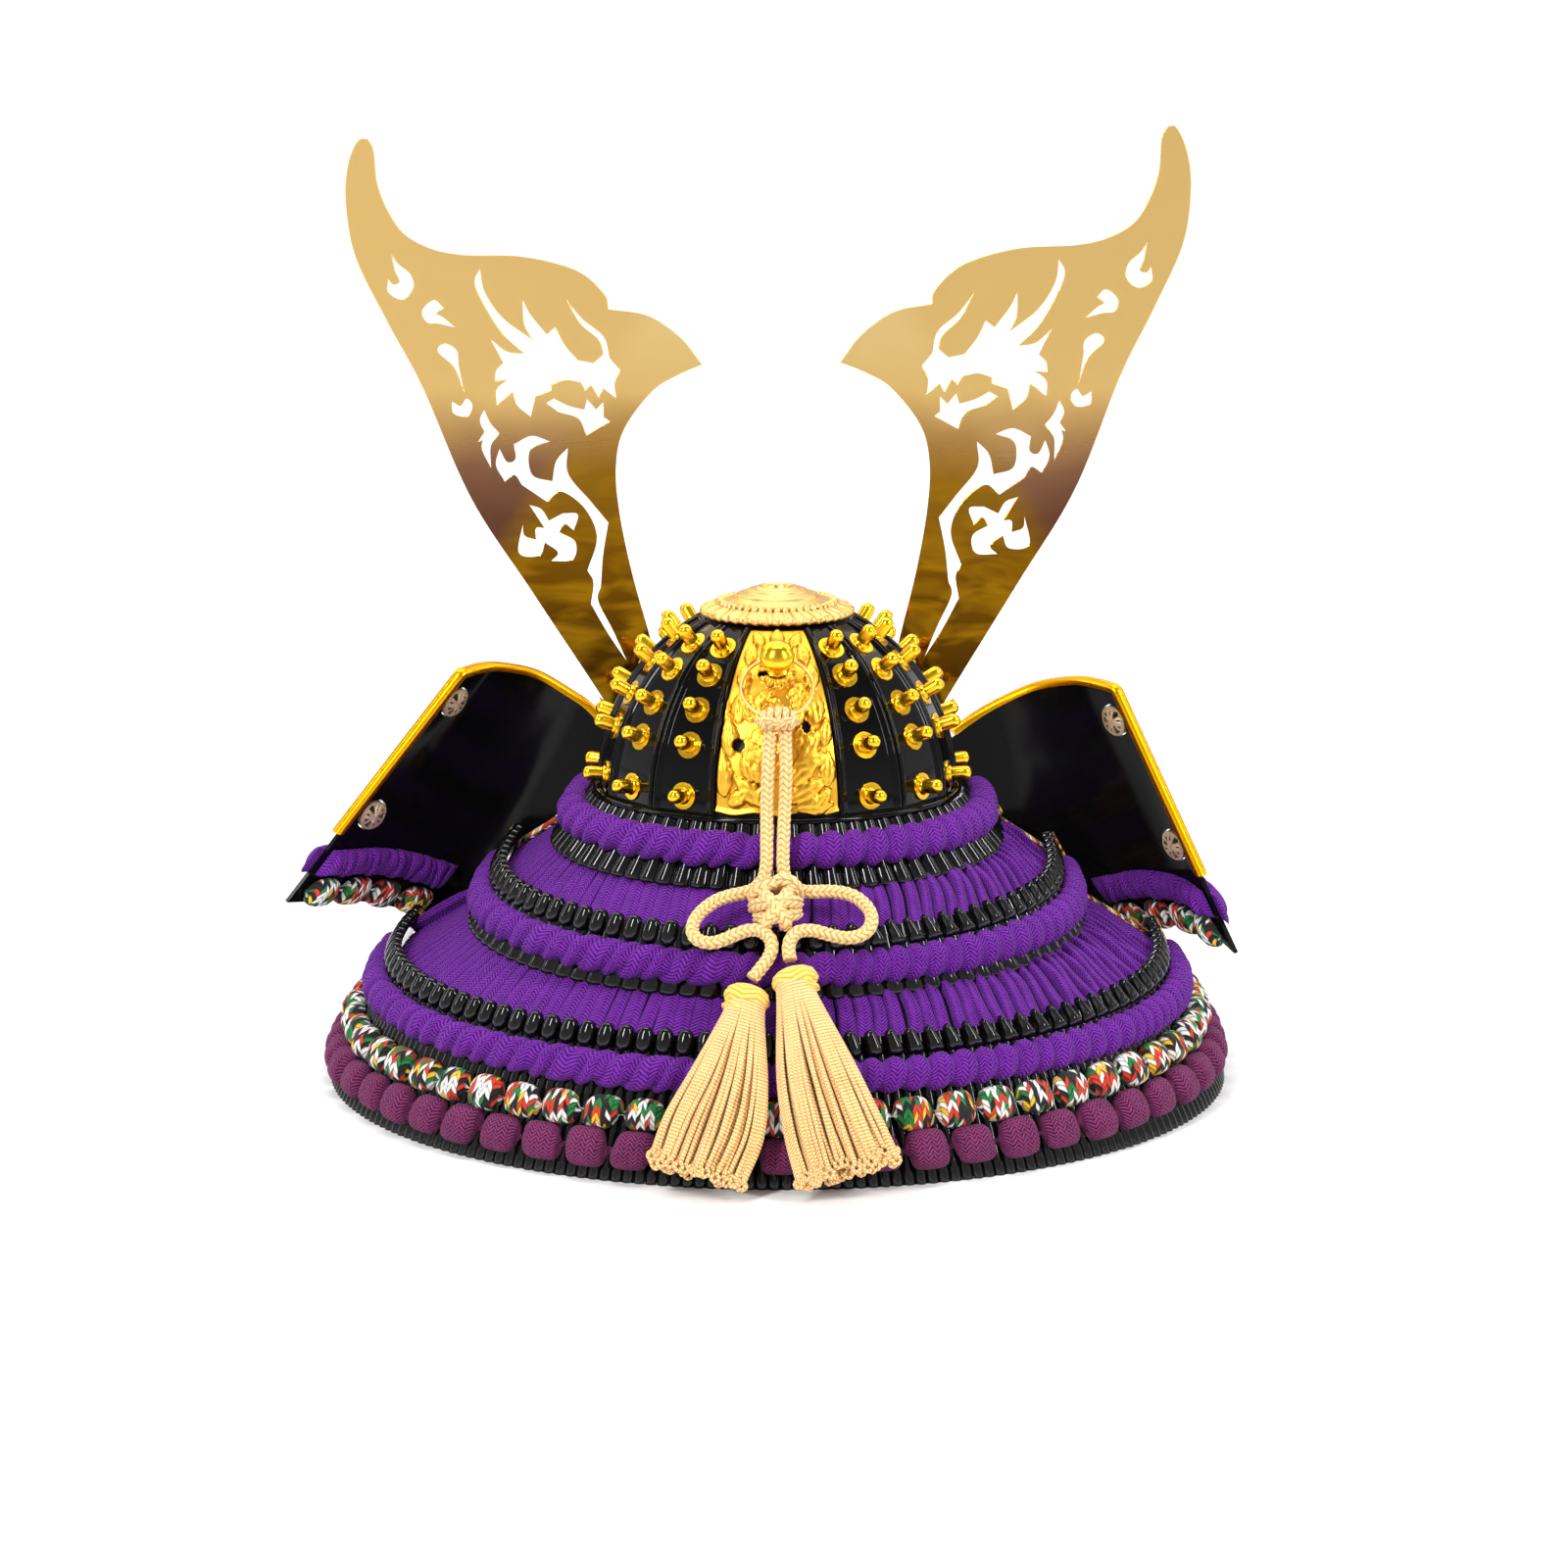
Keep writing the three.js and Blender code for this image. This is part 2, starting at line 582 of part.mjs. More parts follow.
function onVisor(azimuth, across, lift) {
  const width = 4 + 22 * Math.cos(rad(azimuth * 90 / VISOR_HALF)) ** 2;
  const r = VISOR_ROOT + width * across;
  const z = -0.3 - 0.5 * width * across ** 1.5;
  const a = rad(azimuth);
  return vec(r * Math.sin(a), r * Math.cos(a), z + lift);
}

function visor() {
  const sections = Array.from({ length: 13 }, (unused, i) => {
    const azimuth = VISOR_HALF * (i / 6 - 1);
    const spots = [[0, 0], [0.5, 0], [1, 0], [1, -VISOR_T], [0.5, -VISOR_T], [0, -VISOR_T]];
    return spots.map(([across, lift]) => onVisor(azimuth, across, lift));
  });
  return leanBowl(loft(sections));
}

function visorRim() {
  const sections = Array.from({ length: 13 }, (unused, i) => {
    const azimuth = VISOR_HALF * (i / 6 - 1);
    const edge = onVisor(azimuth, 1, -VISOR_T / 2);
    const out = vec(Math.sin(rad(azimuth)), Math.cos(rad(azimuth)), 0);
    return [[GAP, -1.5], [GAP + 1.8, -1.2], [GAP + 2.4, 0], [GAP + 1.8, 1.2], [GAP, 1.5]].map(([reach, lift]) => {
      return edge.clone().addScaledVector(out, reach).add(vec(0, 0, lift));
    });
  });
  return leanBowl(loft(sections));
}

piece('visor', visor(), 'lacquer');
piece('visor_rim', visorRim(), 'gilt');

// Outlines in the plane of the crest: u away from the middle, v up the sheet.
// Each stroke starts at a corner and curves through its points to the next stroke's corner.
const HORN_OUTLINE = [
  [[34, 0], [39, 20], [43.5, 38], [49, 59], [53, 80], [54, 96], [51, 109], [41, 122], [32, 127.5]],
  [[23.5, 131], [31, 140.5], [42, 148]],
  [[55.5, 150.5], [57, 156], [66.5, 164], [85, 169], [106, 170], [118, 173], [127, 179.5], [133.5, 193], [135, 206]],
  [[137, 210], [140.5, 209.5], [144, 201], [145, 188], [142, 169.5], [131.5, 147], [120, 124.5],
    [104, 86], [84, 54], [63, 21]],
  [[50, 0]],
];
const HORN_GAPS = {
  spark_high: [
    [[129.5, 170], [127.5, 167], [123.5, 163.5], [122.5, 159], [126.5, 155], [131, 157.5]],
    [[131, 162], [129.5, 160], [127, 161], [128.5, 165]],
  ],
  spark_middle: [
    [[108.5, 145], [114, 146.5], [118, 147], [119.5, 151], [115.5, 154.5]],
    [[112.5, 152], [115, 150], [112.5, 148.5]],
  ],
  spark_drop: [[[106, 124], [107.5, 132], [108, 137], [112, 139.5], [114.5, 137], [109, 131.5]]],
  spark_low: [[[110, 119.5], [107, 118], [105, 120.5], [103, 118], [105, 114.5], [109.5, 115.5]]],
  head: [
    [[99.5, 165], [98, 157], [92, 148]],
    [[81.5, 140], [84.5, 146]],
    [[85, 154], [82.5, 149]],
    [[77, 142]],
    [[74, 144.5], [71, 138.5]],
    [[66.5, 133]],
    [[61, 132]],
    [[57.5, 135], [59, 140], [65, 145.5]],
    [[69, 152.5], [64.5, 147], [57.5, 141]],
    [[55.5, 133.5]],
    [[52, 129.5], [54, 125]],
    [[53.5, 120]],
    [[58, 123.5]],
    [[59.5, 120.5]],
    [[62, 125]],
    [[64, 123]],
    [[65.5, 125.5], [71, 126.5]],
    [[76, 125]],
    [[76, 123]],
    [[81.5, 121]],
    [[83, 114], [87.5, 118]],
    [[89, 123]],
    [[94.5, 118.5], [94.5, 123.5]],
    [[90.5, 127]],
    [[95, 126.5], [94.5, 130]],
    [[92, 132.5]],
    [[96, 140.5], [91, 136.5]],
    [[84.5, 135.5], [93, 144], [101, 159]],
  ],
  jaw: [
    [[77.5, 118.5]],
    [[75, 120], [70, 117.5]],
    [[64.5, 116]],
    [[63.5, 119.5]],
    [[60.5, 116]],
    [[58, 118.5]],
    [[58, 113.5]],
    [[56, 112]],
    [[64, 107.5], [66.5, 113]],
    [[73.5, 115.5]],
  ],
  flame: [
    [[99, 116.5], [97, 112]],
    [[94, 108.5], [97, 104]],
    [[97, 96.5], [100, 103]],
    [[99.5, 106.5]],
    [[101, 106]],
    [[99, 109], [100.5, 113]],
  ],
  scroll: [
    [[77, 105.5], [83, 107.3]],
    [[89, 104.5], [88.5, 99.5], [91.5, 98.5]],
    [[94, 103], [95.3, 97.5]],
    [[92.5, 92], [89, 94]],
    [[86.5, 90.5]],
    [[81.5, 87]],
    [[78, 84.5], [73, 88], [65, 82], [61, 72]],
    [[64.5, 60.5], [62.5, 56.5]],
    [[63.5, 49], [58, 39]],
    [[51.5, 29], [56, 39.5], [61, 50]],
    [[60, 55], [59, 66]],
    [[57, 77], [63, 84.5], [70.5, 94]],
    [[70.5, 103], [74.5, 98.5]],
    [[76, 91.5], [83, 94], [83.5, 102.5]],
  ],
  curl: [
    [[84, 83.5], [80, 82]],
    [[77.5, 78]],
    [[72.5, 80.5], [67.5, 80]],
    [[69, 74.5], [72, 76.8]],
    [[74, 74], [68.5, 70.5], [69.5, 64.5]],
    [[77, 64], [74.5, 67]],
    [[79, 70.5], [81, 66], [88, 67]],
    [[86.5, 77], [86, 73]],
    [[82, 71.5], [82, 75.5]],
    [[79, 75.5]],
  ],
};

// Run a smooth line through each stroke and return the whole closed outline.
function strokePoints(strokes) {
  const points = [];
  strokes.forEach((stroke, i) => {
    const next = strokes[(i + 1) % strokes.length][0];
    const through = [...stroke, next].map(([u, v]) => new THREE.Vector2(u, v));
    if (through.length === 2) {
      points.push(through[0]);
      return;
    }
    const steps = Math.max(2, Math.round(through.length * 0.56));
    points.push(...new THREE.SplineCurve(through).getPoints(steps).slice(0, -1));
  });
  return THREE.ShapeUtils.isClockWise(points) ? points.reverse() : points;
}

// Lay a body drawn in (u, v, depth) into the leaning plane of the crest.
function inCrestPlane(geometry) {
  geometry.rotateX(Math.PI / 2 - rad(HORN_LEAN));
  return geometry.translate(0, HORN_Y, 0);
}

function hornSheet() {
  const shape = new THREE.Shape(strokePoints(HORN_OUTLINE));
  shape.holes = Object.values(HORN_GAPS).map((strokes) => new THREE.Path(strokePoints(strokes)));
  return closed(new THREE.ExtrudeGeometry(shape, { depth: HORN_T, bevelEnabled: false }));
}

piece('horn_right', inCrestPlane(hornSheet().rotateZ(rad(CREST_ROLL))), 'hornbrass');
piece('horn_left', inCrestPlane(mirrored(hornSheet()).rotateZ(rad(CREST_ROLL))), 'hornbrass');

// Crescent plate ahead of the horns, with a square sleeve round each horn's foot.
function crestHolder() {
  const outline = [[-62, 16], [-52, 2], [-36, -6], [-20, -3.2], [20, -3.2], [36, -6], [52, 2], [62, 16],
    [50, 10], [34, 8], [16, 9], [0, 14], [-16, 9], [-34, 8], [-50, 10]];
  const shape = new THREE.Shape(outline.map((p) => new THREE.Vector2(...p)));
  const face = closed(new THREE.ExtrudeGeometry(shape, { depth: 1.4, bevelEnabled: false }));
  face.translate(0, 0, -1.9);
  const sleeve = closed(new THREE.BoxGeometry(25, 6, 4).translate(43.5, 2.5, 0));
  const slot = closed(new THREE.BoxGeometry(21.5, 20, 2).translate(43.5, 2.5, 0.6));
  const joined = solid(face).add(solid(sleeve)).add(solid(mirrored(sleeve)));
  return surfaceOf(joined.subtract(solid(slot)).subtract(solid(mirrored(slot))));
}
piece('crest_holder', inCrestPlane(crestHolder()), 'gilt');

// ---------------------------------------------------------------- ring stud, ring and cord
const STUD_CLIMB = 46.7;
function ballStud() {
  const profile = [[0, 2.2], [3.4, 2.2], [2, 2.8], [2, 4.9], [5.2, 7.6], [5.2, 10], [3.2, 12.8], [0, 13.6]];
  return leanBowl(setAlong(turned(profile, 9), onBowl(0, STUD_CLIMB, 0), bowlNormal(0, STUD_CLIMB)));
}

// The ring hangs on the stud's neck, with its foot held off the cast plate by the hitch of the cord.
const RING = { radius: 11.9, wire: 0.6, hang: 9 };
function hangingRing() {
  const neck = onBowl(0, STUD_CLIMB, 3.7);
  const low = onBowl(0, 28, 8);
  const down = low.sub(neck).normalize();
  const centre = neck.clone().addScaledVector(down, RING.hang);
  const normal = vec(1, 0, 0).cross(down).normalize();
  const torus = closed(new THREE.TorusGeometry(RING.radius, RING.wire, 5, 18));
  return leanBowl(setAlong(torus, centre, normal));
}
piece('ball_stud', ballStud(), 'gilt');
piece('hanging_ring', hangingRing(), 'gilt');

// Route of each half of the cord: from the hitch on the ring, down to the bow, out round one loop,
// and back through the bow to a tassel.
const CORD_ROUTES = {
  left: [[-2.3, -59.5, 34], [-2.5, -61.8, 30.7], [-2.8, -64.3, 27], [-3, -66.1, 23.4], [-3.2, -67.4, 19.6],
    [-3.3, -68.5, 15.3], [-3.4, -69.8, 11.5], [-3.4, -71.7, 8], [-3.4, -74.2, 4.2], [-3.4, -76.5, 0.9],
    [-3.4, -79.1, -2.8], [-3.7, -81.3, -6.1], [-4.7, -83.3, -9.3], [-7.6, -84.9, -12],
    [-11.3, -85.7, -13.1], [-15.2, -86.3, -13.8], [-19.3, -87.6, -14.9], [-22.5, -89.4, -16.5],
    [-25.2, -91.5, -18.4], [-27.2, -94.6, -20.9], [-27.3, -97.4, -23.4], [-25.1, -99.7, -25.2],
    [-21, -100.6, -25.7], [-17.3, -100, -24.8], [-13.2, -99, -23.3], [-9.4, -98.3, -22.2],
    [-5.6, -98.4, -22.3], [-2.5, -100.1, -24.3], [-1.8, -102.4, -27.2], [-3.1, -104.7, -30],
    [-5.7, -106.9, -33], [-8.2, -108.6, -35.6]],
  right: [[2.6, -59.5, 34], [2.7, -61.8, 30.7], [2.8, -64, 27.4], [2.9, -65.9, 23.9], [2.8, -67.4, 19.6],
    [2.7, -68.4, 15.7], [2.5, -69.6, 11.9], [2.3, -71.5, 8.4], [2.1, -73.6, 5], [2, -75.9, 1.7],
    [1.9, -78.2, -1.6], [1.9, -80.5, -4.9], [2.6, -82.9, -8.5], [4.8, -84.5, -11.2], [8.3, -85.3, -12.5],
    [12.2, -85.4, -12.7], [16.2, -85.3, -12.6], [20.2, -85.6, -12.8], [24, -86.4, -13.6],
    [27.3, -88, -15.2], [29.9, -90.5, -17.6], [30.7, -93.4, -20], [29.6, -96.1, -22.4], [26.8, -98.1, -24],
    [23, -99, -24.5], [19.1, -99.1, -24], [15.2, -98.9, -23], [11.4, -98.7, -22.1], [7.1, -99.3, -22.3],
    [4.5, -101.1, -24.2], [3.7, -103.5, -27], [4.2, -106, -30]],
};

function cordTube(side) {
  const curve = new THREE.CatmullRomCurve3(CORD_ROUTES[side].map((p) => vec(...p)));
  const circle = new THREE.Shape();
  for (let k = 0; k < 8; k += 1) {
    const a = k * Math.PI / 4;
    const at = [CORD_D / 2 * Math.cos(a), CORD_D / 2 * Math.sin(a)];
    if (k) circle.lineTo(...at);
    else circle.moveTo(...at);
  }
  return closed(new THREE.ExtrudeGeometry(circle, { steps: 23, extrudePath: curve, bevelEnabled: false }));
}
piece('cord_left', cordTube('left'), 'peachcord');
piece('cord_right', cordTube('right'), 'peachcord');

// A rounded lump, longer across than it is high.
function lump(centre, size, direction) {
  const profile = [[0, -1], [0.72, -0.72], [1, 0], [0.72, 0.72], [0, 1]];
  const body = turned(profile, 8).scale(size[0], size[1], size[2]);
  return setAlong(body, vec(...centre), vec(...direction));
}
piece('hitch_knot', lump([0.2, -60.6, 40.6], [6.4, 3.2, 2.8], [0, -0.75, 0.66]), 'peachcord');
piece('bow_knot', lump([-1, -91.6, -14.2], [7.6, 6.2, 4.2], [0, -0.6, 0.8]), 'peachcord');

// A tassel: a ribbed cap and a skirt of locks that spreads down the neck guard.
const TASSELS = {
  left: [
    { at: [-8.6, -110.6, -37.2], wide: 3.4, deep: 3.2 },
    { at: [-9.4, -113, -40.4], wide: 7.2, deep: 4.6 },
    { at: [-10.4, -116.8, -44.6], wide: 6.6, deep: 4.4 },
    { at: [-15, -132, -61.5], wide: 12.5, deep: 4.6 },
    { at: [-20, -140, -75.5], wide: 16, deep: 4.2 },
    { at: [-25.5, -145.5, -89], wide: 15.5, deep: 3.2 },
  ],
  right: [
    { at: [4.6, -108.4, -31.8], wide: 3.4, deep: 3.2 },
    { at: [5.2, -111, -34.8], wide: 6.8, deep: 4.6 },
    { at: [6, -114.8, -39], wide: 6.4, deep: 4.6 },
    { at: [12, -132.5, -58.5], wide: 12.5, deep: 5 },
    { at: [17.5, -141.5, -74.5], wide: 15.5, deep: 4.4 },
    { at: [22.5, -147.5, -88], wide: 16.5, deep: 3.2 },
  ],
};

function tassel(side) {
  const rows = TASSELS[side];
  const first = vec(...rows[0].at);
  const last = vec(...rows[rows.length - 1].at);
  const fall = last.sub(first).normalize();
  const across = fall.clone().cross(vec(0, -0.85, 0.5)).normalize();
  const out = across.clone().cross(fall).normalize();
  const sections = rows.map((row) => Array.from({ length: 16 }, (unused, k) => {
    const a = k * Math.PI / 8;
    const lock = k % 2 ? 0.84 : 1.06;
    return vec(...row.at)
      .addScaledVector(across, Math.cos(a) * row.wide * lock)
      .addScaledVector(out, Math.sin(a) * row.deep * lock);
  }));
  return loft(sections);
}
piece('tassel_left', tassel('left'), 'peachcord');
piece('tassel_right', tassel('right'), 'peachcord');

// ---------------------------------------------------------------- set down on the floor
const CORD_NODES = ['cord_left', 'cord_right', 'hitch_knot', 'bow_knot', 'tassel_left', 'tassel_right'];
const box = new THREE.Box3();
root.children.forEach((mesh) => {
  if (!CORD_NODES.includes(mesh.name)) box.expandByObject(mesh);
});
const middle = box.getCenter(vec(0, 0, 0));
root.children.forEach((mesh) => mesh.geometry.translate(-middle.x, -middle.y, -box.min.z));

export default root;
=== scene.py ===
import math
import bpy
import numpy as np
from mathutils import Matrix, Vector


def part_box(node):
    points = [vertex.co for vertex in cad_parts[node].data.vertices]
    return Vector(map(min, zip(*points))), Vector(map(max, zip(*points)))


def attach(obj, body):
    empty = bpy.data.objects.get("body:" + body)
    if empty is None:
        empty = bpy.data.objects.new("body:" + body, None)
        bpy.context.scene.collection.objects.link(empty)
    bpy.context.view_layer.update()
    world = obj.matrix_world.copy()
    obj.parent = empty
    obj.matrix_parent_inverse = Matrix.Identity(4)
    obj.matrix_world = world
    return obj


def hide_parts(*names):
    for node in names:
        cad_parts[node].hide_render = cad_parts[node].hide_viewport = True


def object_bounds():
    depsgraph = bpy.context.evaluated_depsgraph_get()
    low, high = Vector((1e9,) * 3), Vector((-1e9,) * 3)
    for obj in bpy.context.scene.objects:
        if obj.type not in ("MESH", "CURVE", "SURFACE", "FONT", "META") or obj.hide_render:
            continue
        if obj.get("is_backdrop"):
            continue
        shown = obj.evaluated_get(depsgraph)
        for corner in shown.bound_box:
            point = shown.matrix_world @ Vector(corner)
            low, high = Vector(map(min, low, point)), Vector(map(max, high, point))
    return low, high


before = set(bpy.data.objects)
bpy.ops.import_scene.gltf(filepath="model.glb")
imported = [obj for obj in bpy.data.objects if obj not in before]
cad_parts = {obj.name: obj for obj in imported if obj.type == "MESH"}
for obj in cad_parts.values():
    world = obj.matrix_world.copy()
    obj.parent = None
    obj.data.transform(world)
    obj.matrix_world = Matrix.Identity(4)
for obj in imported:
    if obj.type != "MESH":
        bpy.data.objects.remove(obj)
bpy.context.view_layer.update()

# ---------------------------------------------------------------- camera, floor and light
# The helmet stands on a wide pale floor and is looked at from behind, a little from above.
# Everything on it is laid out in millimetres from the middle of the bowl's foot.
MM = 0.001
BOWL_LEAN = math.radians(3.2)
FOOT_OVER_RIM = 98.5 * MM
crown_low, crown_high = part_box("crown_finial")
crown = (Vector(crown_low) + Vector(crown_high)) / 2
CROWN_RIM_OVER_FOOT = 62.2 * MM
FOOT = Vector((crown.x, crown.y - CROWN_RIM_OVER_FOOT * math.sin(BOWL_LEAN),
               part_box("lame_3")[0].z + FOOT_OVER_RIM))


def seat(points):
    """Millimetres about the bowl's foot to metres in the frame."""
    return np.asarray(points, float) * MM + np.array(FOOT)


VIEW_DISTANCE = 2.3
VIEW_ELEVATION = math.radians(14.3)
LENS = 156.8
AIM_RIGHT, AIM_UP = 2.3, 1.7
scene = bpy.context.scene
camera = bpy.data.objects.new("camera", bpy.data.cameras.new("camera"))
scene.collection.objects.link(camera)
scene.camera = camera
camera.data.sensor_width = 36
camera.data.lens = LENS
towards_camera = Vector((0, -math.cos(VIEW_ELEVATION), math.sin(VIEW_ELEVATION)))
view_up = Vector((0, math.sin(VIEW_ELEVATION), math.cos(VIEW_ELEVATION)))
camera.location = FOOT + towards_camera * VIEW_DISTANCE
aim = FOOT + Vector((1, 0, 0)) * AIM_RIGHT * MM + view_up * AIM_UP * MM
camera.rotation_euler = (aim - camera.location).to_track_quat("-Z", "Y").to_euler()
camera.data.clip_end = 50

scene.view_settings.view_transform = "Standard"
scene.world = bpy.data.worlds.new("studio")
scene.world.use_nodes = True
world = scene.world.node_tree
sky = world.nodes["Background"]
rise = world.nodes.new("ShaderNodeTexCoord")
split = world.nodes.new("ShaderNodeSeparateXYZ")
shade = world.nodes.new("ShaderNodeValToRGB")
world.links.new(rise.outputs["Generated"], split.inputs[0])
world.links.new(split.outputs["Z"], shade.inputs[0])
world.links.new(shade.outputs[0], sky.inputs["Color"])
shade.color_ramp.elements[0].position = 0.0
shade.color_ramp.elements[0].color = (1, 1, 1, 1)
shade.color_ramp.elements[1].position = 0.6
shade.color_ramp.elements[1].color = (0.32, 0.32, 0.33, 1)
sky.inputs["Strength"].default_value = 0.8

LAMPS = {
    "key": {"at": (-0.95, -1.25, 1.45), "size": (0.16, 1.1), "watts": 29},
    "fill": {"at": (1.3, -0.95, 1.2), "size": (0.12, 1.0), "watts": 19},
    "left_edge": {"at": (-1.7, 0.15, 0.9), "size": (0.1, 0.9), "watts": 4},
    "right_edge": {"at": (1.7, 0.25, 0.9), "size": (0.1, 0.9), "watts": 4},
    "over": {"at": (0.0, 0.1, 1.9), "size": (1.2, 0.14), "watts": 12},
    "back": {"at": (0.0, 3.3, 3.0), "size": (8.0, 5.4), "watts": 240},
}
for name, lamp in LAMPS.items():
    light = bpy.data.lights.new(name, "AREA")
    light.shape = "RECTANGLE"
    light.size, light.size_y = lamp["size"]
    light.energy = lamp["watts"]
    holder = bpy.data.objects.new(name, light)
    scene.collection.objects.link(holder)
    holder.location = lamp["at"]
    aim = Vector((0, 3.6, 0)) if name == "back" else Vector((0, 0, 0.12))
    holder.rotation_euler = (aim - holder.location).to_track_quat("-Z", "Y").to_euler()


class Tone:
    """A value among a finish's nodes, reckoned with like a number."""

    def __init__(self, finish, socket):
        self.finish, self.socket = finish, socket

    def work(self, operation, first, second=0.0):
        return self.finish.read("Math", 0, {0: first, 1: second}, operation=operation)

    def __add__(self, other):
        return self.work("ADD", self, other)

    def __radd__(self, other):
        return self.work("ADD", other, self)

    def __sub__(self, other):
        return self.work("SUBTRACT", self, other)

    def __rsub__(self, other):
        return self.work("SUBTRACT", other, self)

    def __mul__(self, other):
        return self.work("MULTIPLY", self, other)

    def __truediv__(self, other):
        return self.work("DIVIDE", self, other)

    def __mod__(self, other):
        return self.work("FLOORED_MODULO", self, other)

    def __pow__(self, other):
        return self.work("POWER", self, other)

    def __gt__(self, other):
        return self.work("GREATER_THAN", self, other)

    def __abs__(self):
        return self.work("ABSOLUTE", self)

    def floor(self):
        return self.work("FLOOR", self)

    def fract(self):
        return self.work("FRACT", self)

    def sine(self):
        return self.work("SINE", self)

    def hump(self):
        """A smooth rise and fall while this value goes from 0 to 1."""
        return (self * math.pi).sine()


class Finish:
    """A material, and short words to write its nodes with."""

    def __init__(self, name):
        self.material = bpy.data.materials.new(name)
        self.material.use_nodes = True
        self.tree = self.material.node_tree
        self.shader = self.tree.nodes["Principled BSDF"]

    def add(self, kind, inputs=None, **settings):
        made = self.tree.nodes.new("ShaderNode" + kind)
        for key, value in settings.items():
            setattr(made, key, value)
        for key, value in (inputs or {}).items():
            self.put(made.inputs[key], value)
        return made

    def read(self, kind, output, inputs=None, **settings):
        """Add a node and give one of its outputs."""
        return Tone(self, self.add(kind, inputs, **settings).outputs[output])

    def split(self, vector):
        made = self.add("SeparateXYZ", {0: vector})
        return [Tone(self, output) for output in made.outputs]

    def put(self, socket, value):
        if isinstance(value, Tone):
            self.tree.links.new(value.socket, socket)
        else:
            socket.default_value = value

    def set(self, **values):
        for key, value in values.items():
            self.put(self.shader.inputs[key.replace("_", " ")], value)

    def place(self):
        return self.read("TexCoord", "Object")

    def noise(self, scale, detail=2.0):
        """Cloudy noise, scale in millimetres a cloud."""
        return self.read("TexNoise", "Fac", {"Vector": self.place(), "Scale": 1 / (scale * MM),
                                             "Detail": detail})

    def ramp(self, factor, stops, sharp=False):
        made = self.add("ValToRGB", {"Fac": factor})
        bar = made.color_ramp
        bar.interpolation = "CONSTANT" if sharp else "LINEAR"
        while len(bar.elements) < len(stops):
            bar.elements.new(1)
        for element, (position, colour) in zip(bar.elements, stops):
            element.position = position
            element.color = (*colour, 1)
        return Tone(self, made.outputs["Color"])

    def mix(self, factor, first, second, blend="MIX"):
        made = self.add("Mix", data_type="RGBA", blend_type=blend)
        for index, value in ((0, factor), (6, first), (7, second)):
            self.put(made.inputs[index], (*value, 1) if isinstance(value, tuple) else value)
        return Tone(self, made.outputs[2])

    def bump(self, height, distance, strength=1.0):
        """Raise the surface by a height of 0 to 1 times a distance in millimetres."""
        raised = self.read("Bump", 0, {"Height": height, "Distance": distance * MM, "Strength": strength})
        self.put(self.shader.inputs["Normal"], raised)


def srgb(red, green, blue):
    """Screen values of 0 to 255 to a linear colour."""
    parts = (red / 255, green / 255, blue / 255)
    return tuple(p / 12.92 if p <= 0.04045 else ((p + 0.055) / 1.055) ** 2.4 for p in parts)


floor_paper = Finish("floor_paper")
floor_grain = floor_paper.ramp(floor_paper.noise(900), [(0.3, (0.80, 0.80, 0.79)), (0.7, (0.86, 0.86, 0.85))])
floor_paper.set(Base_Color=floor_grain, Roughness=0.9)
FLOOR_REACH = 9
floor_mesh = bpy.data.meshes.new("floor")
floor_corners = [(x * FLOOR_REACH, y * FLOOR_REACH, 0) for x, y in ((-1, -1), (1, -1), (1, 1), (-1, 1))]
floor_mesh.from_pydata(floor_corners, [], [(0, 1, 2, 3)])
floor = bpy.data.objects.new("floor", floor_mesh)
scene.collection.objects.link(floor)
floor.data.materials.append(floor_paper.material)
floor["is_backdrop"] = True

# ---------------------------------------------------------------- hanging cord
# A round braided cord of peach silk, folded in half over the ring behind the crown. Its two halves
# hang down the neck guard, are tied in a bow with two loops, and each ends in a tassel.
CORD_D = 4.0
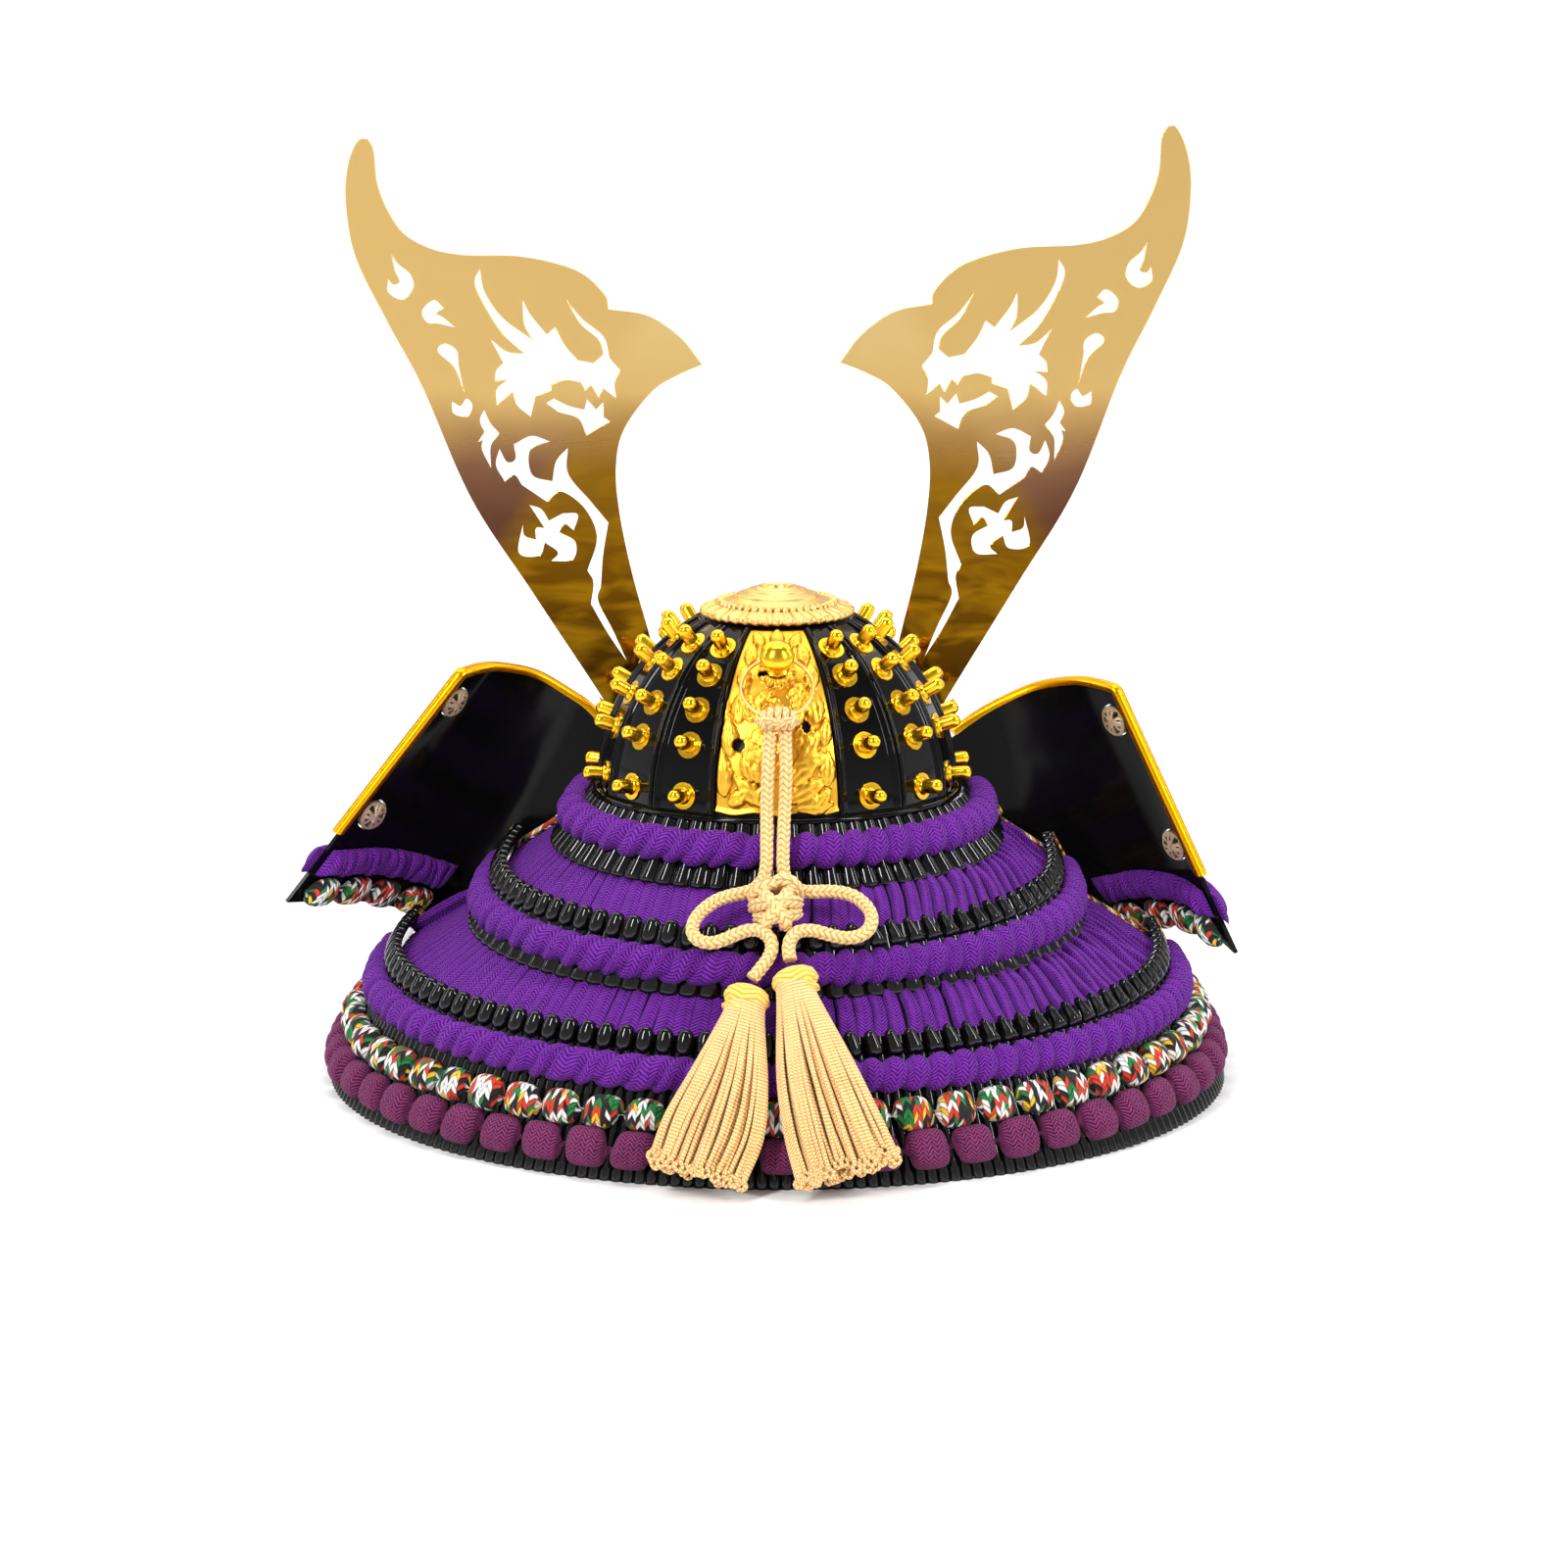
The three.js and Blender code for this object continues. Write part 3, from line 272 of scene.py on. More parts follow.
CORD_ROUTES = {
    "left": [(-2.3, -59.5, 34), (-2.5, -61.8, 30.7), (-2.8, -64.3, 27), (-3, -66.1, 23.4),
             (-3.2, -67.4, 19.6),
             (-3.3, -68.5, 15.3), (-3.4, -69.8, 11.5), (-3.4, -71.7, 8), (-3.4, -74.2, 4.2),
             (-3.4, -76.5, 0.9), (-3.4, -79.1, -2.8), (-3.7, -81.3, -6.1), (-4.7, -83.3, -9.3),
             (-7.6, -84.9, -12), (-11.3, -85.7, -13.1), (-15.2, -86.3, -13.8), (-19.3, -87.6, -14.9),
             (-22.5, -89.4, -16.5), (-25.2, -91.5, -18.4), (-27.2, -94.6, -20.9), (-27.3, -97.4, -23.4),
             (-25.1, -99.7, -25.2), (-21, -100.6, -25.7), (-17.3, -100, -24.8), (-13.2, -99, -23.3),
             (-9.4, -98.3, -22.2), (-5.6, -98.4, -22.3), (-2.5, -100.1, -24.3), (-1.8, -102.4, -27.2),
             (-3.1, -104.7, -30), (-5.7, -106.9, -33), (-8.2, -108.6, -35.6)],
    "right": [(2.6, -59.5, 34), (2.7, -61.8, 30.7), (2.8, -64, 27.4), (2.9, -65.9, 23.9), (2.8, -67.4, 19.6),
              (2.7, -68.4, 15.7), (2.5, -69.6, 11.9), (2.3, -71.5, 8.4), (2.1, -73.6, 5), (2, -75.9, 1.7),
              (1.9, -78.2, -1.6), (1.9, -80.5, -4.9), (2.6, -82.9, -8.5), (4.8, -84.5, -11.2),
              (8.3, -85.3, -12.5), (12.2, -85.4, -12.7), (16.2, -85.3, -12.6), (20.2, -85.6, -12.8),
              (24, -86.4, -13.6), (27.3, -88, -15.2), (29.9, -90.5, -17.6), (30.7, -93.4, -20),
              (29.6, -96.1, -22.4), (26.8, -98.1, -24), (23, -99, -24.5), (19.1, -99.1, -24),
              (15.2, -98.9, -23), (11.4, -98.7, -22.1), (7.1, -99.3, -22.3), (4.5, -101.1, -24.2),
              (3.7, -103.5, -27), (4.2, -106, -30)],
}


def run_along(points):
    """Length run at each point of a line."""
    return np.concatenate([[0], np.cumsum(np.linalg.norm(np.diff(points, axis=0), axis=1))])


def smooth_route(points, spacing):
    """Points every `spacing` along a Catmull-Rom curve through the given ones."""
    points = [np.array(p, float) for p in points]
    points = [2 * points[0] - points[1], *points, 2 * points[-1] - points[-2]]
    curve = []
    for a, b, c, d in zip(points, points[1:], points[2:], points[3:]):
        for t in np.linspace(0, 1, 24, endpoint=False):
            curve.append(0.5 * (2 * b + (c - a) * t + (2 * a - 5 * b + 4 * c - d) * t ** 2
                                + (3 * b - a - 3 * c + d) * t ** 3))
    curve.append(points[-2])
    curve = np.array(curve)
    run = run_along(curve)
    even = np.linspace(0, run[-1], max(2, int(run[-1] / spacing)) + 1)
    return np.stack([np.interp(even, run, curve[:, k]) for k in range(curve.shape[1])], 1)


def unit(vectors):
    return vectors / np.maximum(np.linalg.norm(vectors, axis=-1, keepdims=True), 1e-12)


def frames_along(path, start_up=(0, 0, 1)):
    """Two directions across a path that turn with it and never twist."""
    along = unit(np.gradient(path, axis=0))
    side = np.cross(along[0], start_up)
    if np.linalg.norm(side) < 1e-6:
        side = np.cross(along[0], (1, 0, 0))
    sides = [unit(side)]
    for direction in along[1:]:
        kept = sides[-1] - direction * np.dot(sides[-1], direction)
        sides.append(unit(kept))
    sides = np.array(sides)
    return sides, np.cross(along, sides)


def grid_faces(rows, columns, around_rows=False, around_columns=False):
    """Quads over a grid of points, row after row."""
    i, j = np.meshgrid(np.arange(rows - (not around_rows)), np.arange(columns - (not around_columns)),
                       indexing="ij")
    i, j = i.ravel(), j.ravel()
    below, beside = (i + 1) % rows, (j + 1) % columns
    return np.stack([i * columns + j, i * columns + beside, below * columns + beside, below * columns + j], 1)


def shape(name, parts, finish, slot, replaces=(), flat_angle=None):
    """One piece from several (points in mm about the foot, faces, uv or None), riding on the root body."""
    points, faces, maps, start = [], [], [], 0
    for part in parts:
        part_points, part_faces = np.asarray(part[0], float), part[1]
        points.append(part_points)
        faces.extend([[int(k) + start for k in face] for face in part_faces])
        maps.append(part[2] if len(part) > 2 else np.zeros((len(part_points), 2)))
        start += len(part_points)
    mesh = bpy.data.meshes.new(name)
    mesh.from_pydata(seat(np.concatenate(points)).tolist(), [], faces)
    corners = np.empty(len(mesh.loops), int)
    mesh.loops.foreach_get("vertex_index", corners)
    layer = mesh.uv_layers.new(name="run")
    layer.data.foreach_set("uv", np.concatenate(maps)[corners].astype(np.float32).ravel())
    mesh.polygons.foreach_set("use_smooth", [True] * len(mesh.polygons))
    mesh.validate()
    mesh.update()
    piece = bpy.data.objects.new(name, mesh)
    scene.collection.objects.link(piece)
    piece.data.materials.append(finish.material)
    if flat_angle:
        mesh.set_sharp_from_angle(angle=math.radians(flat_angle))
    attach(piece, "root")
    if replaces:
        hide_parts(*replaces)
    return piece


def tube(path, radius, sides, wave=None):
    """A closed round body along a path, its radius given or worked out from turn (0..1) and run in mm."""
    path = np.asarray(path, float)
    side, up = frames_along(path)
    run = run_along(path)
    turn = np.arange(sides) / sides
    turns, runs = np.meshgrid(turn, run)
    size = wave(turns, runs) if wave else np.broadcast_to(np.asarray(radius, float).reshape(-1, 1),
                                                          turns.shape)
    angle = turns * 2 * np.pi
    rings = (path[:, None] + side[:, None] * (np.cos(angle) * size)[..., None]
             + up[:, None] * (np.sin(angle) * size)[..., None])
    points = np.concatenate([rings.reshape(-1, 3), path[:1], path[-1:]])
    faces = list(grid_faces(len(path), sides, around_columns=True))
    first, last = len(points) - 2, len(points) - 1
    base = (len(path) - 1) * sides
    faces += [[first, (k + 1) % sides, k] for k in range(sides)]
    faces += [[last, base + k, base + (k + 1) % sides] for k in range(sides)]
    uv = np.stack([turns.ravel(), runs.ravel()], 1)
    uv = np.concatenate([uv, [[0, 0], [0, run[-1]]]])
    return points, faces, uv


def plait(turn, run, columns, stitch, depth):
    """Height of a plait of V-shaped stitches, from 0 to depth."""
    across = turn * columns
    column = np.floor(across)
    inside = across - column
    slant = np.where(column % 2 == 0, inside, 1 - inside)
    step = run / stitch + slant * 0.9
    part = step - np.floor(step)
    pillow = np.sqrt(np.clip(1 - (2 * part - 1) ** 2, 0, 1))
    edge = np.sqrt(np.clip(1 - (2 * inside - 1) ** 4, 0, 1))
    return depth * (0.35 * edge + 0.65 * pillow * edge)


def stitch_columns(finish, columns):
    """A braid's run in mm, its columns, the place within a column and how far its stitches slant there."""
    around, run, _ = finish.split(finish.read("UVMap", 0, uv_map="run"))
    across = around * columns
    inside = across.fract()
    return run, across, inside, abs(across.floor() % 2.0 - inside)


def braid_finish(name, light, dark, columns, stitch):
    """Plaited silk: V stitches in columns round the cord, a little fuzzy, coloured dark in the grooves
    between stitches as painted shade.
    """
    finish = Finish(name)
    run, across, inside, slant = stitch_columns(finish, columns)
    step = run / stitch + slant * 0.9
    ridge = step.fract().hump()
    threads = ((across + step * 0.5) * 19.0).sine()
    fluff = finish.noise(0.35, 3)
    # Painted shade: the colour runs from the dark colour in the grooves between stitches to the light one on
    # their tops; the fluff noise adds random tone.
    finish.set(Base_Color=finish.ramp(ridge * 0.75 + fluff * 0.35, [(0.05, dark), (0.75, light)]),
               Roughness=0.82, Sheen_Weight=0.25, Sheen_Roughness=0.4)
    finish.bump(ridge + threads * 0.12 + fluff * 0.3, 0.25, 0.8)
    return finish


PEACH = srgb(246, 206, 140)
PEACH_SHADE = srgb(170, 108, 48)
CORD_COLUMNS, CORD_STITCH = 6, 2.1
peach_braid = braid_finish("peach_braid", PEACH, PEACH_SHADE, CORD_COLUMNS, CORD_STITCH)


def cord_wave(turn, run):
    return CORD_D / 2 - 0.42 + plait(turn, run, CORD_COLUMNS, CORD_STITCH, 0.68)


cord_paths = {}
for side, route in CORD_ROUTES.items():
    cord_paths[side] = smooth_route(route, 0.42)
    body = tube(cord_paths[side], CORD_D / 2, 36, cord_wave)
    shape(f"cord_{side}_braid", [body], peach_braid, "peachcord", [f"cord_{side}"])

# The fold of the cord is hitched round the ring: five turns over the wire and one across them.
hitch_parts = []
for x, tall in ((-4.6, -0.8), (-2.4, 0.3), (0.1, 0.6), (2.5, 0.3), (4.8, -0.8)):
    turn = [(x * 0.8, -59.6, 35.6), (x, -61.5, 37.6), (x + 0.2, -60.8, 40.0 + tall),
            (x + 0.3, -58.2, 41.0 + tall),
            (x + 0.2, -55.7, 40.0 + tall), (x, -54.9, 38.2), (x * 0.9, -56.4, 36.2)]
    hitch_parts.append(tube(smooth_route(turn, 0.4), 1.15, 14, lambda t, r: 0.95 + plait(t, r, 4, 1.5, 0.35)))
across = [(-6.4, -57.6, 37.6), (-5.4, -60.4, 38.0), (-2.6, -62.2, 38.8), (0.6, -62.6, 38.0),
          (3.4, -62.0, 38.9),
          (5.6, -60.2, 38.0), (6.4, -57.6, 37.4)]
hitch_parts.append(tube(smooth_route(across, 0.4), 1.2, 16, lambda t, r: 0.98 + plait(t, r, 4, 1.6, 0.4)))
hitch = shape("hitch_turns", hitch_parts, peach_braid, "peachcord", ["hitch_knot"])

# The bow's knot: two turns over its top, two across the front and two that come down out of it.
bow_turns = [
    [(-7.0, -86.6, -15.6), (-7.6, -89.6, -12.4), (-5.6, -91.4, -9.6), (-2.6, -91.2, -8.6),
     (-0.6, -89.2, -9.2), (0.2, -86.8, -11.6)],
    [(-0.8, -87.2, -9.6), (0.8, -90.2, -7.6), (3.8, -91.2, -7.4), (6.0, -90.6, -9.6), (6.6, -88.6, -12.8),
     (5.8, -86.4, -15.4)],
    [(-7.6, -89.6, -17.0), (-6.6, -93.2, -15.0), (-3.0, -95.8, -13.6), (1.2, -96.4, -13.0),
     (4.8, -94.8, -13.4), (6.8, -91.0, -15.0)],
    [(-6.2, -91.6, -19.6), (-4.6, -95.4, -18.8), (-1.0, -97.4, -18.0), (2.6, -97.0, -17.6),
     (5.6, -94.6, -17.8), (6.4, -91.0, -18.2)],
    [(-4.4, -93.0, -11.4), (-2.4, -95.8, -12.6), (0.4, -97.6, -15.6), (2.4, -98.0, -18.8),
     (2.8, -96.6, -21.4)],
    [(3.8, -92.4, -10.6), (2.4, -95.2, -12.0), (-0.6, -97.4, -15.4), (-3.2, -97.8, -19.0),
     (-4.0, -96.2, -21.6)],
]
bow_parts = []
for turn in bow_turns:
    bow_parts.append(tube(smooth_route(turn, 0.42), 1.9, 28, lambda t,
                          r: 1.62 + plait(t, r, CORD_COLUMNS, CORD_STITCH, 0.62)))
bow = shape("bow_turns", bow_parts, peach_braid, "peachcord", ["bow_knot"])

# ---------------------------------------------------------------- tassels
# Each tassel is a plaited yellow cap over a skirt of twisted two-ply strands. The strands are folded,
# so that each ends in a small loop, and they spread as they lie down the neck guard.
TASSELS = {
    "left": [((-8.6, -110.6, -37.2), 3.4, 3.2), ((-9.4, -113, -40.4), 7.2, 4.6),
             ((-10.4, -116.8, -44.6), 6.6, 4.4),
             ((-15, -132, -61.5), 12.5, 4.6), ((-20, -140, -75.5), 16, 4.2),
             ((-25.5, -145.5, -89), 15.5, 3.2)],
    "right": [((4.6, -108.4, -31.8), 3.4, 3.2), ((5.2, -111, -34.8), 6.8, 4.6), ((6, -114.8, -39), 6.4, 4.6),
              ((12, -132.5, -58.5), 12.5, 5), ((17.5, -141.5, -74.5), 15.5, 4.4),
              ((22.5, -147.5, -88), 16.5, 3.2)],
}
STRANDS_ROUND = (44, 29, 7)
STRAND_R = 0.82
LOOP_R = 1.25


def turned(profile, segments, wave=None):
    """A closed body turned about +Z from (radius, height) pairs. `wave` shifts radius and height by angle."""
    profile = np.asarray(profile, float)
    angle = np.arange(segments) / segments * 2 * np.pi
    radius, height = (np.repeat(profile[:, k, None], segments, 1) for k in (0, 1))
    if wave:
        radius, height = wave(radius, height, angle[None, :])
    points = np.stack([radius * np.cos(angle), radius * np.sin(angle), height], -1).reshape(-1, 3)
    faces = list(grid_faces(len(profile), segments, around_columns=True)[:, ::-1])
    last = (len(profile) - 1) * segments
    faces.append(list(range(segments))[::-1])
    faces.append([last + k for k in range(segments)])
    run = run_along(profile)
    uv = np.stack([np.tile(angle / (2 * np.pi), len(profile)), np.repeat(run, segments)], 1)
    return points, faces, uv


def set_along(part, at, direction):
    """Move a body drawn about the origin to a point, with its +Z along a direction."""
    turn = Vector(direction).to_track_quat("Z", "Y").to_matrix()
    return (part[0] @ np.array(turn).T + np.asarray(at, float), *part[1:])


strand_silk = Finish("tassel_strand")
PLY_TURN = 1.15
around, run, _ = strand_silk.split(strand_silk.read("UVMap", 0, uv_map="run"))
ply_ridge = (run / PLY_TURN + around).fract().hump()
# Painted shade: the strand is darker in the grooves between its two plies and lighter on their ridges; the
# noise adds random tone.
strand_colour = strand_silk.ramp(ply_ridge * 0.8 + strand_silk.noise(7, 2) * 0.4,
                                 [(0.12, srgb(172, 104, 44)), (0.55, srgb(238, 184, 110)),
                                               (1.0, srgb(252, 214, 150))])
strand_silk.set(Base_Color=strand_colour, Roughness=0.7, Sheen_Weight=0.3, Sheen_Roughness=0.35)
strand_silk.bump(ply_ridge, 0.3, 0.9)
cap_braid = braid_finish("tassel_cap", srgb(255, 205, 96), srgb(190, 122, 30), 9, 1.9)

for side, rows in TASSELS.items():
    centres = np.array([row[0] for row in rows], float)
    fall = unit(centres[-1] - centres[0])
    broad = unit(np.cross(fall, (0, -0.85, 0.5)))
    out = unit(np.cross(broad, fall))
    chance = np.random.default_rng(11 if side == "left" else 12)
    strands = []
    for ring, count in enumerate(STRANDS_ROUND):
        shrink = 1.0 - 0.27 * ring
        for k in range(count):
            angle = 2 * np.pi * (k + 0.5 * ring) / count
            drift = chance.normal(0, 1, 2)
            line = []
            for n, (centre, wide, deep) in enumerate(rows[1:]):
                loose = 0.05 * n
                a = angle + drift[0] * loose * 0.6
                cosine, sine = math.cos(a), math.sin(a)
                reach = broad * cosine * (wide * shrink - STRAND_R * 0.8) * (1 + 0.04 * n * drift[1] * loose)
                line.append(np.array(centre) + reach + out * sine * (deep * shrink - STRAND_R * 0.8))
            line[-1] = line[-1] - fall * chance.uniform(0, 4.5)
            end = unit(line[-1] - line[-2])
            loop_side = unit(np.cross(out, end)) * (1 if k % 2 else -1)
            middle = line[-1] + end * LOOP_R
            loop = [middle + LOOP_R * (math.sin(t) * loop_side - math.cos(t)
                                       * end) for t in np.linspace(0.5, 5.6, 8)]
            body = smooth_route(line, 1.5)
            path = np.concatenate([body, loop])
            strands.append(tube(path, np.r_[np.full(len(body), STRAND_R),
                                            np.full(len(loop), STRAND_R * 0.8)], 6))
    skirt = shape(f"tassel_skirt_{side}", strands, strand_silk, "peachcord", [f"tassel_{side}"])

    def cap_wave(radius, height, angle):
        return radius * (1 + 0.07 * np.abs(np.sin(angle * 4.5 + height * 0.6))), height

    cap_profile = [(0.6, 0), (2.6, 0.1), (4.6, 0.7), (6.3, 2.0), (7.2, 3.8), (7.3, 5.2), (6.6, 6.6),
                   (6.0, 7.2),
                   (6.3, 7.7), (6.9, 8.4), (6.7, 9.3), (5.6, 9.9), (1.0, 10.2)]
    cap_body = turned(cap_profile, 72, cap_wave)
    flat = (cap_body[0] * (1, 0.72, 1), *cap_body[1:])
    frame_turn = np.stack([broad, out, fall], 1)
    placed = (flat[0] @ frame_turn.T + centres[0], *flat[1:])
    cap = shape(f"tassel_cap_{side}", [placed], cap_braid, "peachcord")
    route = seat(cord_paths[side])
    length = float(np.linalg.norm(np.diff(route, axis=0), axis=1).sum())

# ---------------------------------------------------------------- bowl
# An inner shell carries twelve narrow black lacquered plates, six on each side. Both long edges of
# a plate are rolled up into a rib, and five gilt rivets on fluted washers stand down its middle.
BOWL_R = 59.5
BOWL_H = 65
PLATE_T = 1.5
PLATE_SPAN = 70 / 3
PLATE_CLIMBS = (2.3, 64)
RIVET_HEIGHTS = (7.6, 24, 35, 45.5, 53.3)


def swung(points, angle, first, second):
    """Points turned by an angle from one axis towards another (0 for x, 1 for y, 2 for z)."""
    points = np.array(points, float)
    a, b = points[..., first].copy(), points[..., second].copy()
    c, s = math.cos(angle), math.sin(angle)
    points[..., first], points[..., second] = a * c - b * s, a * s + b * c
    return points


def lean(points):
    """The bowl and all that is fixed to it dip a little towards the front."""
    return swung(points, -BOWL_LEAN, 1, 2)


def on_bowl(azimuth, climb, lift=0.0):
    """Azimuth from the back and climb in degrees, lift along the outward normal in mm."""
    azimuth, climb = np.radians(azimuth), np.radians(climb)
    radius, height = BOWL_R * np.cos(climb), BOWL_H * np.sin(climb)
    out, up = radius / BOWL_R ** 2, height / BOWL_H ** 2
    size = np.sqrt(out ** 2 + up ** 2)
    reach = radius + lift * out / size
    azimuth, reach = np.broadcast_arrays(azimuth, reach)
    height = np.broadcast_to(height + lift * up / size, reach.shape)
    return np.stack([reach * np.sin(azimuth), -reach * np.cos(azimuth), height], -1)


def bowl_out(azimuth, climb):
    return on_bowl(azimuth, climb, 1.0) - on_bowl(azimuth, climb, 0.0)


def loft(sections):
    """A closed body through a row of closed sections, with capped ends."""
    sections = np.asarray(sections, float)
    rows, n = sections.shape[:2]
    points = sections.reshape(-1, 3)
    faces = list(grid_faces(rows, n, around_columns=True))
    faces.append(list(range(n))[::-1])
    faces.append([(rows - 1) * n + k for k in range(n)])
    run, across = run_along(sections.mean(1)), run_along(sections[0])
    uv = np.stack([np.tile(across, rows), np.repeat(run, n)], 1)
    return points, faces, uv


def black_finish(name, dark, light, rough, specular, waves, cloud=(30, 3)):
    """Black, with `rough` as (least, spread, cloud size) and `waves` as (size, detail, height, strength)."""
    finish = Finish(name)
    least, spread, size = rough
    finish.set(Base_Color=finish.ramp(finish.noise(*cloud), [(0.3, dark), (0.8, light)]),
               Roughness=least + finish.noise(size, 3) * spread, Specular_IOR_Level=specular)
    finish.bump(finish.noise(*waves[:2]), *waves[2:])
    return finish


lacquer = black_finish("black_lacquer", (0.0015, 0.0015, 0.0017), (0.003, 0.003, 0.0034), (0.045, 0.04, 2),
                       0.17,
                       (9, 1, 0.03, 0.15))


def gold_finish(name, bright, deep, rough, grain):
    """Gilt metal with a fine cast grain, its colour darkened in its recesses by ambient occlusion as painted
    shade.
    """
    finish = Finish(name)
    # Painted shade: ambient occlusion darkens the colour where the relief is recessed.
    hollow_shade = finish.read("AmbientOcclusion", "AO", {"Distance": 3 * MM}, samples=4)
    tone = hollow_shade * (0.75 + finish.noise(5, 3) * 0.35)
    finish.set(Base_Color=finish.ramp(tone, [(0.3, deep), (0.82, bright)]), Metallic=1.0,
               Roughness=rough + finish.noise(1.2, 3) * 0.1)
    finish.bump(finish.noise(0.3, 2), grain, 0.4)
    return finish


gilt = gold_finish("gilt", srgb(250, 200, 44), srgb(150, 88, 2), 0.17, 0.03)

RIB = [(0.15, 0.4), (0.3, 0.95), (0.7, 1.3), (1.2, 1.4), (1.7, 1.2), (2.2, 0.7), (2.6, 0.25), (3.1, 0.03),
       (3.6, 0.0)]


def plate_section(azimuth, climb):
    radius = BOWL_R * math.cos(math.radians(climb))
    narrow = 0.62 + 0.38 * math.cos(math.radians(climb)) ** 0.5
    half = PLATE_SPAN / 2
    edge = [(half - math.degrees(0.15 / radius), -PLATE_T)]
    edge += [(half - math.degrees(max(inset * narrow, 0.15) / radius), high * narrow) for inset, high in RIB]
    left = [on_bowl(azimuth - a, climb, lift) for a, lift in edge]
    right = [on_bowl(azimuth + a, climb, lift) for a, lift in edge]
    flat = [left[-1] + (right[-1] - left[-1]) * t for t in np.linspace(0, 1, 7)[1:-1]]
    back = [right[0] + (left[0] - right[0]) * t for t in np.linspace(0, 1, 4)[1:-1]]
    return [*left, *flat, *right[::-1], *back]


RIVET = [(4.55, -0.7), (4.6, 0.25), (4.45, 0.5), (3.9, 0.52), (3.2, 0.5), (2.9, 0.55), (2.8, 0.85),
         (2.6, 1.1),
         (2.45, 1.2), (2.4, 1.6), (2.42, 5.6), (2.34, 6.2), (2.1, 6.9), (1.6, 7.5), (0.9, 7.87), (0.15, 7.95)]
WASHER_FLUTES = 26


def washer_flutes(radius, height, angle):
    on_washer = (radius > 2.8) & (height > 0.2)
    return radius, height + np.where(on_washer, 0.17 * np.sin(angle * WASHER_FLUTES), 0)


rivet_body = turned(RIVET, WASHER_FLUTES * 2, washer_flutes)
for side, sign in (("right", 1), ("left", -1)):
    for number in range(1, 7):
        azimuth = sign * (20 + PLATE_SPAN * (number - 0.5))
        climbs = np.linspace(*PLATE_CLIMBS, 34)
        body = loft([lean(plate_section(azimuth, climb)) for climb in climbs])
        shape(f"plate_{side}_{number}", [body], lacquer, "lacquer", [f"bowl_plate_{side}_{number}"],
              flat_angle=40)
        rivets = []
        for height in RIVET_HEIGHTS:
            climb = math.degrees(math.asin(height / BOWL_H))
            sink = BOWL_R * math.cos(math.radians(climb)) * (1 - math.cos(math.radians(PLATE_SPAN * 0.36)))
            at = lean(on_bowl(azimuth, climb, -sink + 0.1))
            rivets.append(set_along(rivet_body, at, lean(bowl_out(azimuth, climb))))
        shape(f"rivets_{side}_{number}", rivets, gilt, "gilt", flat_angle=50)

# The shell inside the plates is plain, dull black.
shell_black = black_finish("shell_black", (0.008, 0.008, 0.009), (0.02, 0.02, 0.021), (0.45, 0.25, 3), 0.5,
                           (0.8, 3, 0.1, 0.5), cloud=(12, 4))
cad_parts["bowl_shell"].data.materials.clear()
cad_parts["bowl_shell"].data.materials.append(shell_black.material)

# ---------------------------------------------------------------- gilt plates
# At the back and the front a wide cast plate covers two plates' room. It is gilt, with leaves and layered
# blossoms in relief over a finely dotted ground, a few small holes and a wavy foot.
def table(columns, *rows):
    """Rows of a table, each as a dict, with the columns named once."""
    return [dict(zip(columns.split(), row)) for row in rows]


GILT_SPAN = 40
GILT_CLIMBS = (2.3, 64)
GILT_RUN = 62
PLATE_HOLES = table("across up wide tall", (-0.3, 0.7, 2.0, 1.1), (-0.66, 0.33, 2.2, 2.0),
                    (0.52, 0.42, 1.4, 2.2),
                    (0.1, 0.34, 0.8, 1.0))
# Leaves: foot of the leaf as mm across and mm up, its length and width, and its turn from upright.
LEAVES = table("x y long wide turn",
    (-17.5, 5, 15, 6.5, -4), (-15.5, 17, 13, 6, -3), (-4, 3, 13, 6.5, -52), (-16, 3, 9, 5, 60),
    (3, 4, 15, 6.5, 66), (4, 9, 15, 6.5, 48), (5, 14, 13, 6, 74), (8, 15, 12, 5.5, 30),
    (-13, 27, 11, 5.5, 8), (-3, 27, 9, 5, -40), (13.5, 27, 12, 6, -12), (5, 26, 9, 5, 24),
    (12, 38, 10, 5, -8), (-11.5, 38, 9, 4.6, 10), (3.5, 36, 8, 4.2, 60), (-7, 33, 8, 4.4, 48),
    (-9.5, 47, 9, 4.4, 14), (9.5, 47, 9, 4.4, -14), (0, 55, 7, 4.6, 0), (-5, 54, 7, 4, -20),
    (5, 54, 7, 4, 20), (-8, 10, 9, 5, -20), (6, 1.5, 13, 6, 84), (12, 1, 9, 5, 40), (16.5, 8, 11, 5.5, 2),
    (-18.5, 27, 10, 5, 6), (15.5, 20, 9, 4.6, 4), (-6, 2, 8, 4.6, 12),
)
BLOSSOMS = table("x y size petals tiers",
    (-4.5, 17.5, 8.2, 7, 3), (9.8, 22.5, 4.4, 5, 2), (-9.5, 32, 4.2, 5, 2), (0, 44.5, 6.2, 12, 2),
    (8, 34, 3.8, 5, 2), (-1.5, 32.5, 3.4, 6, 1),
)


def leaf_height(x, y, leaf):
    turn = math.radians(leaf["turn"])
    dx, dy = x - leaf["x"], y - leaf["y"]
    along = (dx * math.sin(turn) + dy * math.cos(turn)) / leaf["long"]
    across = (dx * math.cos(turn) - dy * math.sin(turn)) / (leaf["wide"] / 2)
    inside = (along > 0) & (along < 1)
    a = np.clip(along, 0, 1)
    teeth = 1 + 0.07 * np.sin(a * 30)
    width = np.maximum(np.sin(np.pi * a ** 0.75) * teeth, 1e-3)
    k = np.abs(across) / width
    crown = np.sqrt(np.clip(1 - k ** 2, 0, 1)) * (0.55 + 0.45 * np.sin(np.pi * a))
    veins = 0.07 * np.cos(2 * np.pi * (a * 4 - np.abs(across) * 0.8)) * (k < 0.9)
    rib = 0.3 * np.exp(-(across / 0.2) ** 2)
    return np.where(inside & (k < 1), 0.4 + 1.2 * crown + veins - rib, -9)


